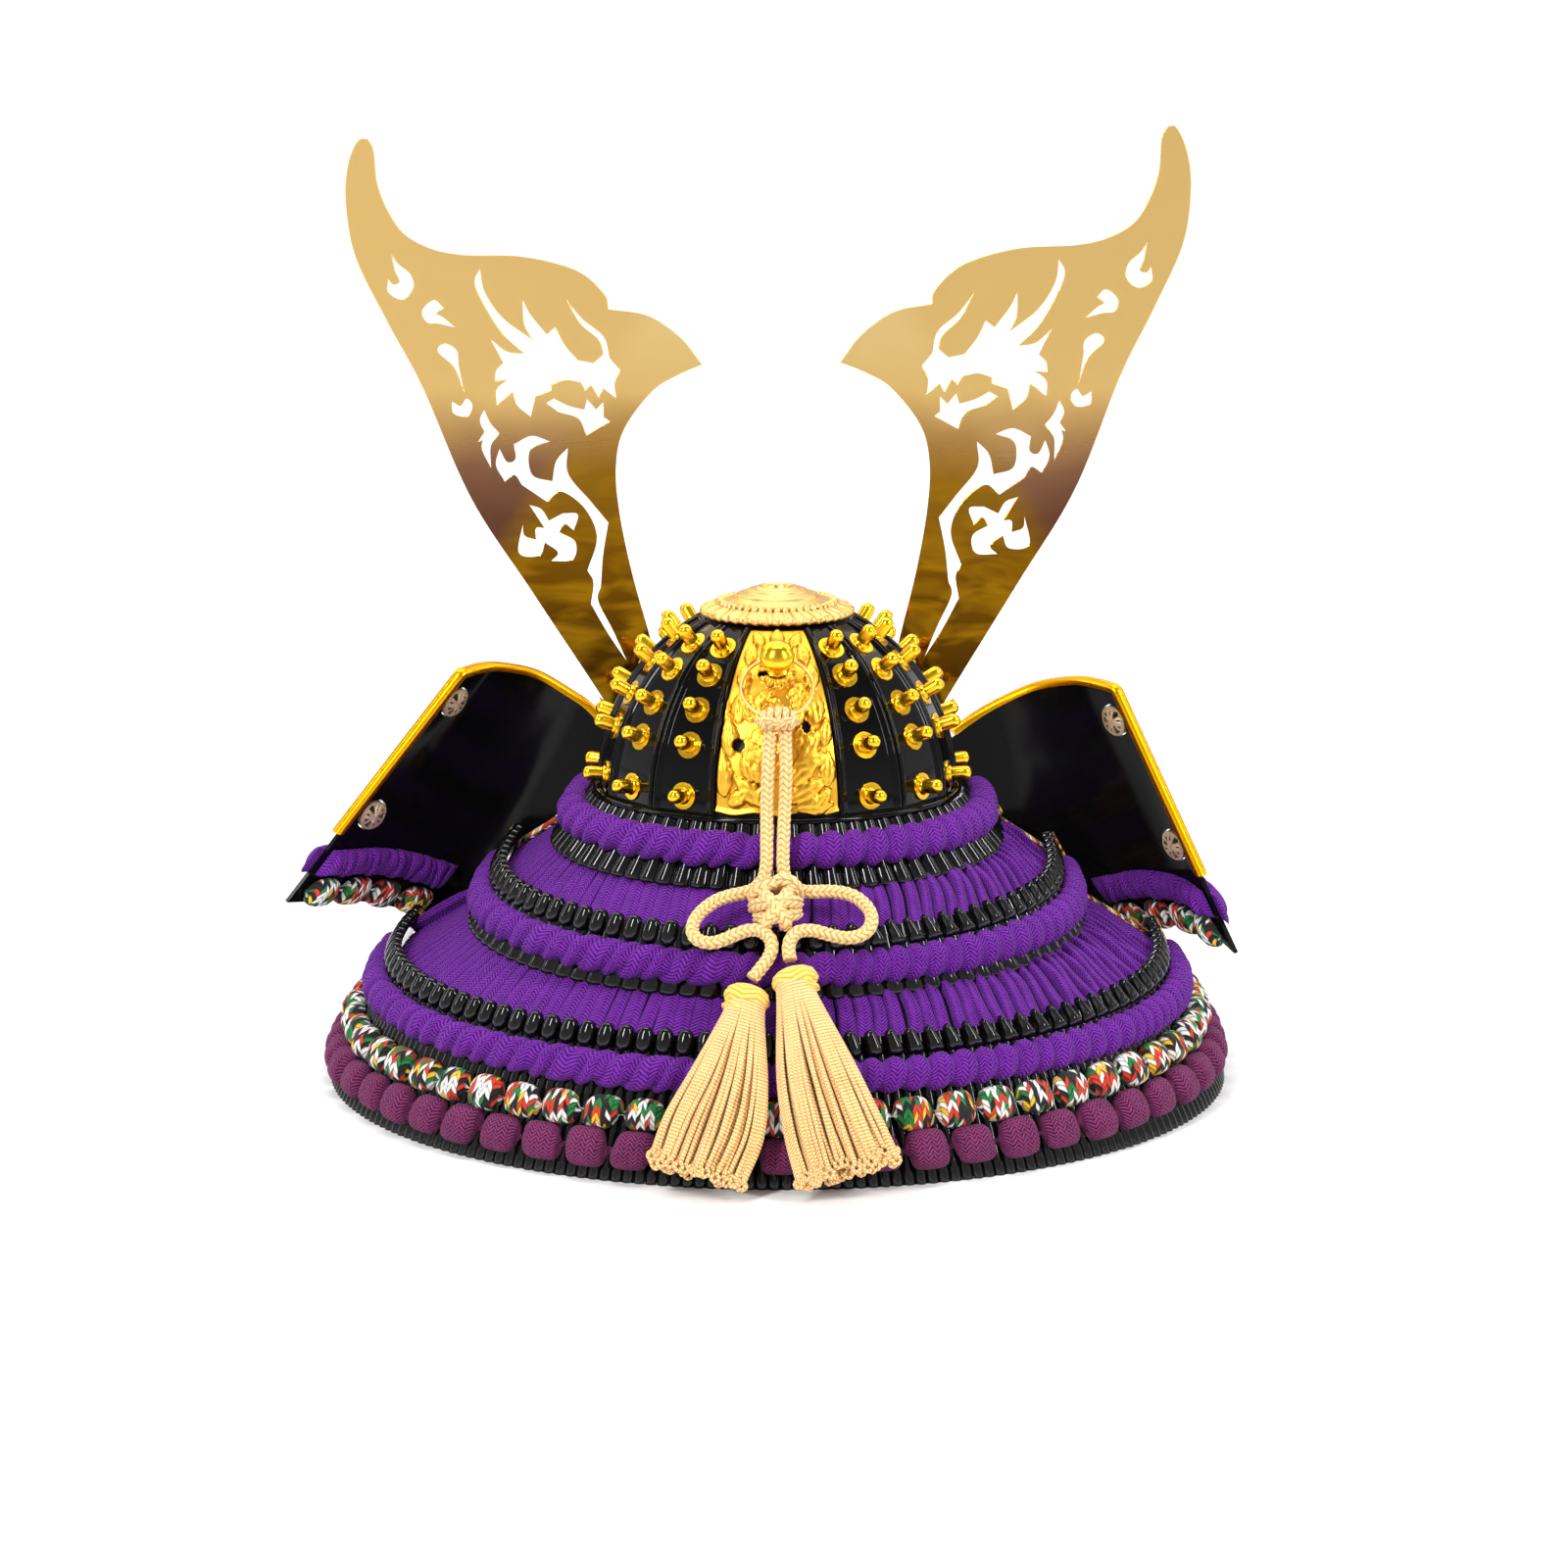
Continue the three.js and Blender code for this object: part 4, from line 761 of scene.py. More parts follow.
def blossom_height(x, y, flower):
    dx, dy = x - flower["x"], y - flower["y"]
    radius = np.hypot(dx, dy) / flower["size"]
    angle = np.arctan2(dy, dx)
    high = np.full_like(radius, -9.0)
    for tier in range(flower["tiers"]):
        reach = 1 - tier * 0.3
        petal = np.abs(np.cos(angle * flower["petals"] / 2 + tier * 0.8))
        edge = reach * (0.74 + 0.26 * petal ** 0.6)
        k = radius / edge
        cup = (0.5 + 0.5 * tier) + 0.75 * np.sqrt(np.clip(1 - (1 - k) ** 2 * 1.2, 0, 1)) * (0.6 + 0.4 * petal)
        high = np.maximum(high, np.where(k < 1, cup, -9))
    heart = 1.5 + 0.35 * flower["tiers"] + 0.5 * np.sqrt(np.clip(1 - (radius / 0.22) ** 2, 0, 1))
    return np.maximum(high, np.where(radius < 0.22, heart, -9))


def gilt_relief(x, y, half):
    ground = 0.15 + 0.08 * np.sin(x * 6.5) * np.sin(y * 6.5)
    high = ground
    for number, leaf in enumerate(LEAVES):
        high = np.maximum(high, leaf_height(x, y, leaf) + 0.22 * (number % 4))
    for flower in BLOSSOMS:
        high = np.maximum(high, blossom_height(x, y, flower))
    border = np.clip((half - np.abs(x)) / 0.8, 0, 1)
    foot = np.clip(1 - y / 1.6, 0, 1)
    return np.maximum(np.minimum(high, 2.4) * (0.25 + 0.75 * np.sqrt(border)), 0.9 * np.sqrt(foot))


def open_edges(faces):
    """The edges that only one face has, each in that face's direction."""
    edges = dict.fromkeys((int(a), int(b)) for face in faces for a, b in zip(face, np.roll(face, -1)))
    return [edge for edge in edges if edge[::-1] not in edges]


def two_sided(front, back, kept, maps):
    """A closed sheet from the kept faces of two grids, walled round every open edge."""
    count = front.size // 3
    faces = [*kept, *(kept[:, ::-1] + count), *([b, a, a + count, b + count] for a, b in open_edges(kept))]
    used = np.zeros(2 * count, bool)
    for face in faces:
        used[face] = True
    fresh = np.cumsum(used) - 1
    points = np.concatenate([front.reshape(-1, 3), back.reshape(-1, 3)])
    return points[used], [fresh[face] for face in faces], np.tile(maps, (2, 1))[used]


def gilt_plate(middle, columns, rows):
    """The plate's front as a grid, with its holes left out, and its back set behind it."""
    up, across = np.meshgrid(np.linspace(0, 1, rows), np.linspace(-1, 1, columns), indexing="ij")
    wavy = 0.9 * (0.5 - 0.5 * np.cos(across * 9.0)) * np.clip(1 - up * 12, 0, 1)
    climb = GILT_CLIMBS[0] + (GILT_CLIMBS[1] - GILT_CLIMBS[0]) * up + wavy
    radius = BOWL_R * np.cos(np.radians(climb))
    half_turn = GILT_SPAN / 2 - np.degrees(0.15 / radius)
    half = radius * np.radians(half_turn)
    lift = gilt_relief(across * half, up * GILT_RUN, half)
    azimuth = middle + across * half_turn
    front = lean(on_bowl(azimuth, climb, lift))
    back = lean(on_bowl(azimuth, climb, -PLATE_T))
    faces = grid_faces(rows, columns)
    solid = np.ones(len(faces), bool)
    centre_x = (across * half).ravel()[faces].mean(1)
    centre_y = (up * GILT_RUN).ravel()[faces].mean(1)
    for hole in PLATE_HOLES:
        at = math.radians(GILT_CLIMBS[0] + (GILT_CLIMBS[1] - GILT_CLIMBS[0]) * hole["up"])
        x = hole["across"] * BOWL_R * math.cos(at) * math.radians(GILT_SPAN / 2)
        y = hole["up"] * GILT_RUN
        solid &= ((centre_x - x) / hole["wide"]) ** 2 + ((centre_y - y) / hole["tall"]) ** 2 > 1
    maps = np.stack([(across * half).ravel(), (up * GILT_RUN).ravel()], 1)
    return two_sided(front, back, faces[solid], maps)


cast_gilt = gold_finish("cast_gilt", srgb(248, 188, 60), srgb(136, 72, 4), 0.3, 0.04)
shape("cast_plate_back", [gilt_plate(0, 108, 160)], cast_gilt, "gilt", ["gilt_plate_back"])
shape("cast_plate_front", [gilt_plate(180, 72, 104)], cast_gilt, "gilt", ["gilt_plate_front"])

# ---------------------------------------------------------------- crown
# The opening at the crown has a stepped rim of pale, matte gilt: a scalloped foot, a ring of short
# upright petals, smooth tiers and a small tube in the middle.
pale_gilt = gold_finish("pale_gilt", srgb(240, 192, 116), srgb(142, 84, 22), 0.3, 0.05)
CROWN = [(4.4, 64.6), (10, 63.6), (18, 61.9), (23.5, 60.3), (25.3, 60.0), (25.9, 60.9), (25.8, 61.8),
         (24.8, 62.5),
         (23.6, 62.8), (22.4, 63.2), (21.2, 63.6), (20.4, 63.8), (20.2, 64.0), (20.0, 64.9), (19.3, 65.25),
         (18.3, 65.2),
         (17.9, 64.8), (17.3, 64.9), (15.8, 65.5), (14.4, 66.0), (14.0, 66.2), (13.8, 66.8), (13.2, 67.1),
         (11.8, 67.4),
         (10.6, 67.7), (10.2, 67.9), (10.0, 68.4), (9.4, 68.65), (8.2, 68.8), (7.4, 69.0), (7.1, 69.35),
         (6.6, 69.55),
         (5.9, 69.5), (5.2, 69.1), (4.7, 68.2), (4.4, 67.0)]
RIM_SCALLOPS = 44
RIM_PETALS = 46


def crown_wave(radius, height, angle):
    scallop = np.abs(np.sin(angle * RIM_SCALLOPS / 2))
    petal = np.abs(np.sin(angle * RIM_PETALS / 2))
    leaf = np.abs(np.sin(angle * RIM_SCALLOPS / 2 + 0.7)) * np.cos(angle * 11) ** 2
    at_rim = np.clip((radius - 24.2) / 1.4, 0, 1) * (height > 60.4)
    on_skirt = ((radius > 20.6) & (radius < 24.9) & (height > 62)).astype(float)
    at_petals = ((radius > 17.6) & (radius < 20.25) & (height > 63.9)).astype(float)
    radius = radius + at_rim * (0.8 * scallop - 0.6) + at_petals * (0.7 * petal - 0.55) * (radius > 19)
    height = height + on_skirt * (0.9 * leaf
                                  - 0.3) + at_petals * (0.8 * petal - 0.6) - at_rim * 0.6 * (1 - scallop)
    return radius, height


crown_body = turned(CROWN + [CROWN[0]], 368, crown_wave)
crown_points = lean(crown_body[0])
crown_faces = [f for f in crown_body[1] if len(f) == 4]
shape("crown_rim", [(crown_points, crown_faces, crown_body[2])], pale_gilt, "palegilt", ["crown_finial"],
      flat_angle=60)

# A smooth lacquered ring covers the joint between the bowl's foot and the neck guard.
WAIST = [(58.7, -8), (60.4, -8), (60.5, -0.6), (61.6, -0.4), (62.1, 0.2), (62.2, 1.0), (61.9, 1.7),
         (61.1, 2.05), (60.2, 1.9),
         (59.6, 1.3), (58.7, 1.2), (58.7, -8)]
waist = turned(WAIST, 160)
shape("foot_ring", [(lean(waist[0]), [f for f in waist[1] if len(f) == 4], waist[2])], lacquer, "lacquer",
      ["waist_ring"],
      flat_angle=50)

# ---------------------------------------------------------------- neck guard: lacquered lames
# Three flared tiers of black lacquered scales. Each scale is a rounded upright rib. The heads of the scales
# stand up in a row above the roll of lacing on the two lower tiers.
LAME_T = 1.5
BAND_T = 2.0
FRONT_REACH = 150
NECK_END = 36
NECK_TURN = math.radians(-3)
RIM_Z = -98.5
# Lines of the neck guard: half width a, reach b to the back, height z, and the tilt to the front in degrees.
NECK_LINES = {row["line"]: row for row in table("line a b z tilt",
    ("lame1Top", 62.6, 62.6, 0.2, 3.2), ("lame1Foot", 75.2, 74.0, -16.0, 1.6),
    ("band1Top", 73.3, 72.1, -17.6, 1.6), ("band1Foot", 92.4, 93.2, -30.6, 0),
    ("lame2Top", 92.5, 93.5, -23.8, 0), ("lame2Foot", 103.4, 101.0, -43.0, 0),
    ("band2Top", 101.8, 99.4, -44.4, 0), ("band2Foot", 128.6, 117.2, -60.2, 0),
    ("lame3Top", 128.5, 117.0, -53.2, 0), ("lame3Foot", 152.5, 136.0, RIM_Z, 0))}
NECK_SWEEP = math.pi / 2 + math.asin(NECK_END / FRONT_REACH)


def on_line(line, s):
    """A point on a line of the neck guard, s from -1 at the left front end to 1 at the right one."""
    angle = np.asarray(s, float) * NECK_SWEEP
    reach = np.where(np.cos(angle) > 0, line["b"], FRONT_REACH)
    y = -reach * np.cos(angle)
    return np.stack([line["a"] * np.sin(angle), y, line["z"] - math.tan(math.radians(line["tilt"])) * y], -1)


def neck_frame(top, foot, s, down):
    """Points on the wall between two lines, and the directions along, down and out of it."""
    s, down = np.broadcast_arrays(np.asarray(s, float), np.asarray(down, float))
    def spot(s):
        high, low = on_line(NECK_LINES[top], s), on_line(NECK_LINES[foot], s)
        return high + (low - high) * down[..., None]
    along = unit(spot(s + 0.004) - spot(s - 0.004))
    fall = unit(on_line(NECK_LINES[foot], s) - on_line(NECK_LINES[top], s))
    return spot(s), along, fall, unit(np.cross(fall, along))


def neck(points):
    """The neck guard sits turned a little on the bowl."""
    return swung(points, NECK_TURN, 0, 1)


def neck_run(top, foot, down):
    """Length along a line on the wall, and the s of any place along it."""
    s = np.linspace(-1, 1, 801)
    run = run_along(neck_frame(top, foot, s, down)[0])
    return run[-1], lambda place: np.interp(place, run, s)


def slab(front, back, uv=None):
    """A closed sheet between two grids of points."""
    rows, columns = front.shape[:2]
    count = rows * columns
    faces = [list(f) for f in grid_faces(rows, columns)]
    faces += [[k + count for k in f[::-1]] for f in grid_faces(rows, columns)]
    rim = [k for k in range(columns)] + [(r + 1) * columns - 1 for r in range(1, rows)]
    rim += [(rows - 1) * columns + k for k in range(columns - 2, -1,
                                                    -1)] + [r * columns for r in range(rows - 2, 0, -1)]
    faces += [[b, a, a + count, b + count] for a, b in zip(rim, rim[1:] + rim[:1])]
    points = np.concatenate([front.reshape(-1, 3), back.reshape(-1, 3)])
    maps = np.zeros((2 * count, 2)) if uv is None else np.tile(uv.reshape(-1, 2), (2, 1))
    return points, faces, maps


LAMES = {
    1: {"scales": 72, "flutes": 1, "depth": 2.1, "head": 0, "over": 1.6},
    2: {"scales": 93, "flutes": 1, "depth": 1.9, "head": 7.2, "over": 1.9},
    3: {"scales": 117, "flutes": 2, "depth": 1.35, "head": 7.2, "over": 0},
}


scale_lacquer = black_finish("scale_lacquer", (0.002, 0.002, 0.0023), (0.005, 0.005, 0.0056),
                             (0.06, 0.06, 2), 0.42,
                             (5, 2, 0.04, 0.2))
HEAD_ROWS = np.array([0.0, 0.035, 0.1, 0.19, 0.3, 0.43, 0.57, 0.7, 0.82, 0.92, 1.0])


def scale_head(top, foot, s, pitch, tall):
    """The head of one scale: a rounded bead on the left, and on the right a tooth cut on the slant."""
    point, along, fall, out = neck_frame(top, foot, s, 0.0)
    right = float(np.clip(s * 3.2, 0, 1))
    half = pitch * 0.435
    long = tall + 1.6
    v, u = np.meshgrid(HEAD_ROWS * long, np.linspace(-1, 1, 9), indexing="ij")
    bead = np.clip(1 - np.abs(2 * v / long - 1) ** 2.7, 0.012, 1) ** 0.42
    waist = np.exp(-((v - 0.62 * long) / 1.4) ** 2)
    tooth_left = (0.62 + 0.38 * np.clip(v / 1.1, 0, 1)) * (1 - 0.2 * waist)
    tooth_right = -0.6 + 1.66 * np.clip(v / (0.8 * long), 0, 1) ** 0.8
    left_edge = -half * (bead * (1 - right) + tooth_left * right)
    right_edge = half * (bead * (1 - right) + tooth_right * right)
    x = left_edge + (u + 1) / 2 * (right_edge - left_edge)
    round_over = bead * (1 - right) + right * np.clip((long - v) / 1.2, 0.05,
                                                      1) * np.clip(v / 0.8 + 0.1, 0, 1)
    high = 0.5 + 2.2 * np.sqrt(np.clip(1 - (0.985 * u) ** 2, 0, 1)) * round_over ** 0.8 * (1 - 0.2 * right)
    down = v - 2.0
    front = point + along * x[..., None] + fall * down[..., None] + out * high[..., None]
    back = point + along * x[..., None] + fall * down[..., None] - out * 0.6
    return slab(neck(front), neck(back))


for number, lame in LAMES.items():
    top, foot = f"lame{number}Top", f"lame{number}Foot"
    count = round(lame["scales"] * NECK_SWEEP / math.pi)
    flutes = count * lame["flutes"]
    s = np.linspace(-1, 1, flutes * (10 if lame["flutes"] == 1 else 8) + 1)
    rows = np.array([0, 0.04, 0.15, 0.45, 0.8, 0.93, 0.98, 1.0])
    down, across = np.meshgrid(rows, s, indexing="ij")
    place, along, fall, out = neck_frame(top, foot, across, down)
    place = place + fall * (lame["over"] * (down > 0.9))[..., None]
    wave = np.abs(np.sin((across + 1) / 2 * flutes * np.pi))
    rise = lame["depth"] * wave ** 0.7 - 1.3
    rise += 0.3 * (lame["over"] > 0) * np.clip((down - 0.8) / 0.1, 0, 1)
    round_foot = -0.7 * np.clip((down - 0.95) / 0.05, 0, 1) ** 2
    front = place + out * (rise + round_foot)[..., None]
    back = place - out * LAME_T
    back[-1, :, 2] = place[-1, :, 2]
    front[-1, :, 2] = place[-1, :, 2]
    parts = [slab(neck(front), neck(back))]
    if lame["head"]:
        run, s_at = neck_run(top, foot, 0.0)
        for k in range(count):
            parts.append(scale_head(top, foot, float(s_at((k + 0.5) / count * run)), run / count,
                                    lame["head"]))
    shape(f"scales_{number}", parts, scale_lacquer, "lacquer", [f"lame_{number}"], flat_angle=55)

# ---------------------------------------------------------------- neck guard: lacing bands
# Between the tiers hang wide bands of flat purple silk braid. On the left the braids lie side by side and
# lean a little, and on the right they are wider than their room, so they overlap and curl into pleats.
def silk_finish(name, light, middle, dark, columns, stitch, slope=1.0):
    finish = Finish(name)
    run, _, inside, slant = stitch_columns(finish, columns)
    step = run / stitch + slant * slope + finish.noise(1.6, 2) * 0.5
    body = step.fract().hump() ** 0.8 * (0.6 + inside.hump() ** 0.3 * 0.4)
    fuzz = finish.noise(0.35, 3)
    # Painted shade: the colour is dark in the grooves between stitches and at the seams between columns, and
    # light on the stitches' tops; the noise adds random tone.
    tone = body * 0.65 + finish.noise(4, 3) * 0.25 + fuzz * 0.4
    finish.set(Base_Color=finish.ramp(tone, [(0.22, dark), (0.62, middle), (0.98, light)]), Roughness=0.85,
               Sheen_Weight=0.05, Sheen_Roughness=0.35, Specular_IOR_Level=0.2)
    finish.bump(body + fuzz * 0.6, 0.36, 0.9)
    return finish


# Purples for the stitches' tops, their middle and the painted shade in the grooves.
PURPLES = srgb(122, 40, 166), srgb(66, 10, 104), srgb(12, 0, 28)
purple_braid = silk_finish("purple_braid", *PURPLES, 2, 1.25, 2.0)
# A much darker purple for the backing sheet, which shows only in the gaps between the braids as painted
# shade.
purple_shade_backing = silk_finish("purple_shade_backing", srgb(30, 6, 56), srgb(16, 3, 34), srgb(5, 0, 12), 2, 1.15)
BRAID_WIDE = 5.9
PLEAT_WIDE = 0.93
PLEAT_PITCH = (6.6, 4.0)
PLEATS_FROM = 0.06
FLAT_BRAID = [(-0.53, 0.3), (-0.45, 0.5), (-0.22, 0.64), (0.0, 0.6), (0.22, 0.68), (0.42, 0.78),
              (0.52, 0.7), (0.54, 0.3)]
PLEAT_BRAID = [(-0.46, 0.2), (-0.5, 1.1), (-0.46, 1.9), (-0.34, 2.4), (-0.12, 2.45), (0.12, 2.2),
               (0.32, 1.85), (0.45, 1.4),
               (0.5, 0.8), (0.47, 0.2)]


def braid_strip(top, foot, place, width, profile, thick, lean_by, sway, s_at, stand=1.0, weave=1.0):
    """One braid from the top line to the foot line, its middle at a length along the band."""
    downs = np.linspace(0.0, 1.0, 15)
    rows_front, rows_back = [], []
    across = np.linspace(0, 1, len(profile)) * weave
    lines = []
    for down in downs:
        centre = place + lean_by * (down
                                    - 0.5) + sway[0] * math.sin(down * 5.2 + sway[1]) + sway[2] * (down - 0.5)
        curl = 1 + 0.25 * math.sin(down * 6 + sway[1] * 2)
        pinch = 0.5 + 0.5 * math.sin(math.pi * min(max(down, 0.04), 0.96)) ** 0.6
        front, back = [], []
        for k, high in profile:
            s = float(s_at(centre + k * width))
            point, along, fall, out = neck_frame(top, foot, s, down)
            lift = high * (0.25 + (stand * curl * pinch if thick > 0.6 else 0.75))
            front.append(point + out * lift)
            back.append(point + out * (lift - thick))
        rows_front.append(front)
        rows_back.append(back)
        lines.append(front[len(front) // 2])
    front, back = np.array(rows_front), np.array(rows_back)
    run = run_along(np.array(lines))
    uv = np.stack(np.broadcast_arrays(across[None, :], run[:, None]), -1)
    return slab(neck(front), neck(back), uv)


def braid_lean(place, length):
    """How far a braid's foot is drawn in towards the middle of the back."""
    from_middle = 2 * place / length - 1
    return -8.0 * np.clip(from_middle / 0.45, -1, 1) * np.clip(min(place, length - place) / 14, 0, 1)


for number in (1, 2):
    top, foot = f"band{number}Top", f"band{number}Foot"
    length, s_at = neck_run(top, foot, 0.5)
    s = np.linspace(-1, 1, 161)
    down, across = np.meshgrid(np.linspace(-0.12, 1, 10), s, indexing="ij")
    place, along, fall, out = neck_frame(top, foot, across, down)
    # The backing under the braids is dark, as painted shade in the gaps between them.
    backing = slab(neck(place - out * 0.2), neck(place - out * BAND_T))
    shape(f"band_backing_{number}", [backing], purple_shade_backing, "purplesilk", [f"lacing_band_{number}"])
    chance = np.random.default_rng(20 + number)
    pleats_at = (PLEATS_FROM + 1) / 2 * length
    strips = []
    count = int(pleats_at / BRAID_WIDE)
    for k in range(count):
        place = (k + 0.5) * pleats_at / count
        split = chance.random() < 0.11
        sway = (chance.normal(0, 0.18), chance.uniform(0, 6), chance.normal(0, 0.4) - 1.0 * split)
        width = pleats_at / count * (0.84 if split else 1.0)
        strips.append(braid_strip(top, foot, place, width, FLAT_BRAID, 0.5, braid_lean(place, length), sway,
                                  s_at))
    place = pleats_at + 1.5
    while place < length - 1.5:
        far = (place - pleats_at) / (length - pleats_at)
        pitch = PLEAT_PITCH[0] + (PLEAT_PITCH[1] - PLEAT_PITCH[0]) * far ** 0.7
        room = np.clip((length - place) / 8, 0.3, 1)
        sway = ((0.5 + far + chance.normal(0, 0.3)) * room, 0.5 + chance.normal(0, 0.45),
                chance.normal(0, 0.5) * room)
        width = min(PLEAT_WIDE * pitch * chance.uniform(0.86, 1.08), 2 * (length - place) + 1)
        stand = np.clip(0.25 + far * 2.6, 0.25, 1.0) * room * chance.uniform(0.7, 1.15)
        lean_by = braid_lean(place, length)
        strips.append(braid_strip(top, foot, place, width, PLEAT_BRAID, 0.7, lean_by, sway, s_at, stand, 2.0))
        place += pitch * chance.uniform(0.8, 1.2)
    # On the lower band the last braid at the left front end lies curled over along the band's end.
    if number == 2:
        down = np.linspace(0.96, 0.1, 22)
        point, along, fall, out = neck_frame(top, foot, -0.975 + 0.012 * down, down)
        plump = 2.9 * np.sin(np.pi * np.linspace(0.1, 0.95, 22)) ** 0.5
        curl = tube(neck(point + out * 2.2), plump, 16)
        strips.append((*curl[:2], curl[2] * (3, 1)))
    shape(f"band_braids_{number}", strips, purple_braid, "purplesilk", flat_angle=70)

# ---------------------------------------------------------------- neck guard: rolls of lacing
# Above each tier's foot the purple braid is wound into a thick roll. On the left its turns lie slanting
# like a rope's, and on the right they stand up as plump folds.
ROLLS = table("name lame at half bulge left right",
    ("lacing_roll_1", 1, 0.44, 6.0, 5.2, 8.8, 7.2), ("lacing_roll_2", 2, 0.62, 5.8, 4.6, 8.6, 7.0),
    ("lacing_roll_3", 3, 0.265, 5.8, 5.2, 8.6, 7.0),
)
LIFT_OFF = 0.3
ROLL_STEP = 0.8
roll_silk = silk_finish("roll_braid", *PURPLES, 4, 1.3, 1.5)


def padded_section(half, bulge, around):
    """A rounded pad's section: fall and lift at places 0..1 from its upper edge to its lower one."""
    angle = around * np.pi
    return -np.cos(angle) * half, np.sin(angle) ** 0.75 * bulge


for roll in ROLLS:
    top, foot = f"lame{roll['lame']}Top", f"lame{roll['lame']}Foot"
    length, s_at = neck_run(top, foot, roll["at"])
    run = np.linspace(0, length, int(length / ROLL_STEP))
    around = np.linspace(0, 1, 17)
    runs, arounds = np.meshgrid(run, around, indexing="ij")
    chance = np.random.default_rng(30 + roll["lame"])
    edges = [-12.0]
    while edges[-1] < length + 12:
        pitch = roll["left"] if edges[-1] / length < 0.5 else roll["right"]
        edges.append(edges[-1] + pitch * chance.uniform(0.78, 1.24))
    edges = np.array(edges)
    plump = chance.uniform(0.9, 1.08, len(edges) + 1)
    right = np.clip((runs / length - 0.46) * 12, 0, 1)
    slant = (1 - right) * (9.0 * (arounds - 0.5) + 0.9 * np.sin(arounds * np.pi * 2) + 0.9
                           * np.sin(runs * 0.47 + arounds * 4))
    spot = runs + slant + right * (3.0 * (arounds - 0.5) - 1.7 * np.sin(arounds * np.pi))
    fold = np.interp(spot, edges, np.arange(len(edges)))
    number = np.floor(fold).astype(int)
    inside = fold - number
    body = np.sin(np.pi * inside ** (0.75 + 0.6 * right)) ** 0.55
    fall_by, lift_by = padded_section(roll["half"], roll["bulge"], arounds)
    notch = (1 - right) * 0.14 * np.sin(np.clip(arounds * 1.3 - 0.3, 0, 1) * np.pi)
    size = 0.62 - notch + (0.44 + notch) * body * plump[number]
    end = np.clip(np.minimum(runs, length - runs) / 3.5, 0.05, 1) ** 0.5
    point, along, fall, out = neck_frame(top, foot, s_at(runs), roll["at"])
    front = (point + fall * (fall_by * size * (0.5 + 0.5 * end))[..., None] + out
             * (LIFT_OFF + lift_by * size * end)[..., None])
    back = point + fall * (fall_by * 0.9 * size)[..., None] + out * 0.05
    uv = np.stack([fold, arounds * 16], -1)
    shape(f"roll_braid_{roll['lame']}", [slab(neck(front)[:, ::-1], neck(back)[:, ::-1], uv[:, ::-1])],
          roll_silk, "purplesilk",
          [roll["name"]], flat_angle=80)

# ---------------------------------------------------------------- neck guard: rows of knots
# Two rows of plump knots tie the lowest tier: an upper row of braid in five colours and a lower row of
# maroon braid. A little of the lacquer shows between one knot and the next.
KNOTS = table("name at half bulge pitch",
    ("knot_row_multicolour", 0.537, 5.6, 5.2, 14.4), ("knot_row_maroon", 0.776, 6.2, 5.2, 16.2),
)
FLECKS = [(0.0, srgb(236, 234, 228)), (0.27, srgb(9, 8, 10)), (0.57, srgb(206, 48, 16)),
          (0.75, srgb(14, 118, 48)),
          (0.91, srgb(240, 184, 22))]


def fleck_finish(name, columns, stitch):
    """Braid of five colours, each stitch of one colour and some pairs of stitches alike."""
    finish = Finish(name)
    run, across, inside, slant = stitch_columns(finish, columns)
    column = across.floor()
    pair = (column / 2.0).floor()
    step = run / stitch + (pair % 2.0 * 0.5 + slant)
    row = step.floor()

    def chance_of(number, dimensions):
        cell = finish.read("CombineXYZ", 0, {0: number, 1: row})
        return finish.read("TexWhiteNoise", "Value", {"Vector": cell}, noise_dimensions=dimensions)

    paired = chance_of(pair, "2D") > 0.7
    pick = chance_of(column, "3D") * (1.0 - paired) + chance_of(pair, "3D") * paired
    body = step.fract().hump() ** 0.6 * inside.hump() ** 0.4
    # Painted shade: each stitch is darkened towards its ends and the edges of its column.
    shade = finish.ramp(body, [(0.1, (0.2, 0.19, 0.19)), (0.65, (1, 1, 1))])
    finish.set(Base_Color=finish.mix(1.0, finish.ramp(pick, FLECKS, sharp=True), shade, "MULTIPLY"),
               Roughness=0.8,
               Sheen_Weight=0.08, Sheen_Roughness=0.4)
    finish.bump(body + finish.noise(0.4, 3) * 0.4, 0.45, 0.9)
    return finish


mixed_braid = fleck_finish("mixed_braid", 10, 2.3)
maroon_braid = silk_finish("maroon_braid", srgb(136, 54, 106), srgb(74, 20, 56), srgb(18, 2, 14), 10, 1.15,
                           1.3)


KNOT_STEP = 0.74


def knot_row(length, place_at, half, bulge, pitch, seed, fill=0.88):
    """A row of pads that narrow to a waist between one and the next, from a function run -> frame."""
    chance = np.random.default_rng(seed)
    count = max(1, round(length / pitch))
    run = np.linspace(0, length, int(length / KNOT_STEP))
    around = np.linspace(0, 1, 15)
    runs, arounds = np.meshgrid(run, around, indexing="ij")
    place = runs / length * count
    number = np.clip(np.floor(place).astype(int), 0, count - 1)
    tilt = chance.normal(0, 0.13, count)[number]
    plump = chance.uniform(0.92, 1.06, count)[number]
    f = np.clip(place - number + tilt * (arounds - 0.5) * 0.6, 0, 1)
    k = np.clip(np.abs(2 * f - 1) / fill, 0, 1)
    square = 2.9 if fill > 0.87 else 4.2
    pad = np.clip(1 - k ** square, 0, 1) ** (1 / 2.3)
    size = 0.12 + 0.92 * pad * plump
    fall_by, lift_by = padded_section(half, bulge, arounds)
    stitches = plait(arounds, runs, 8, 1.5, 0.35)
    point, fall, out = place_at(runs)
    front = point + fall * (fall_by
                            * size)[..., None] + out * (LIFT_OFF + lift_by * (0.2 + 0.8 * size) * size
                                                        + stitches * pad)[..., None]
    back = point + fall * (fall_by * size * 0.9)[..., None] + out * 0.05
    stitch_place = np.stack([place, arounds * 15], -1)
    return front[:, ::-1], back[:, ::-1], stitch_place[:, ::-1]


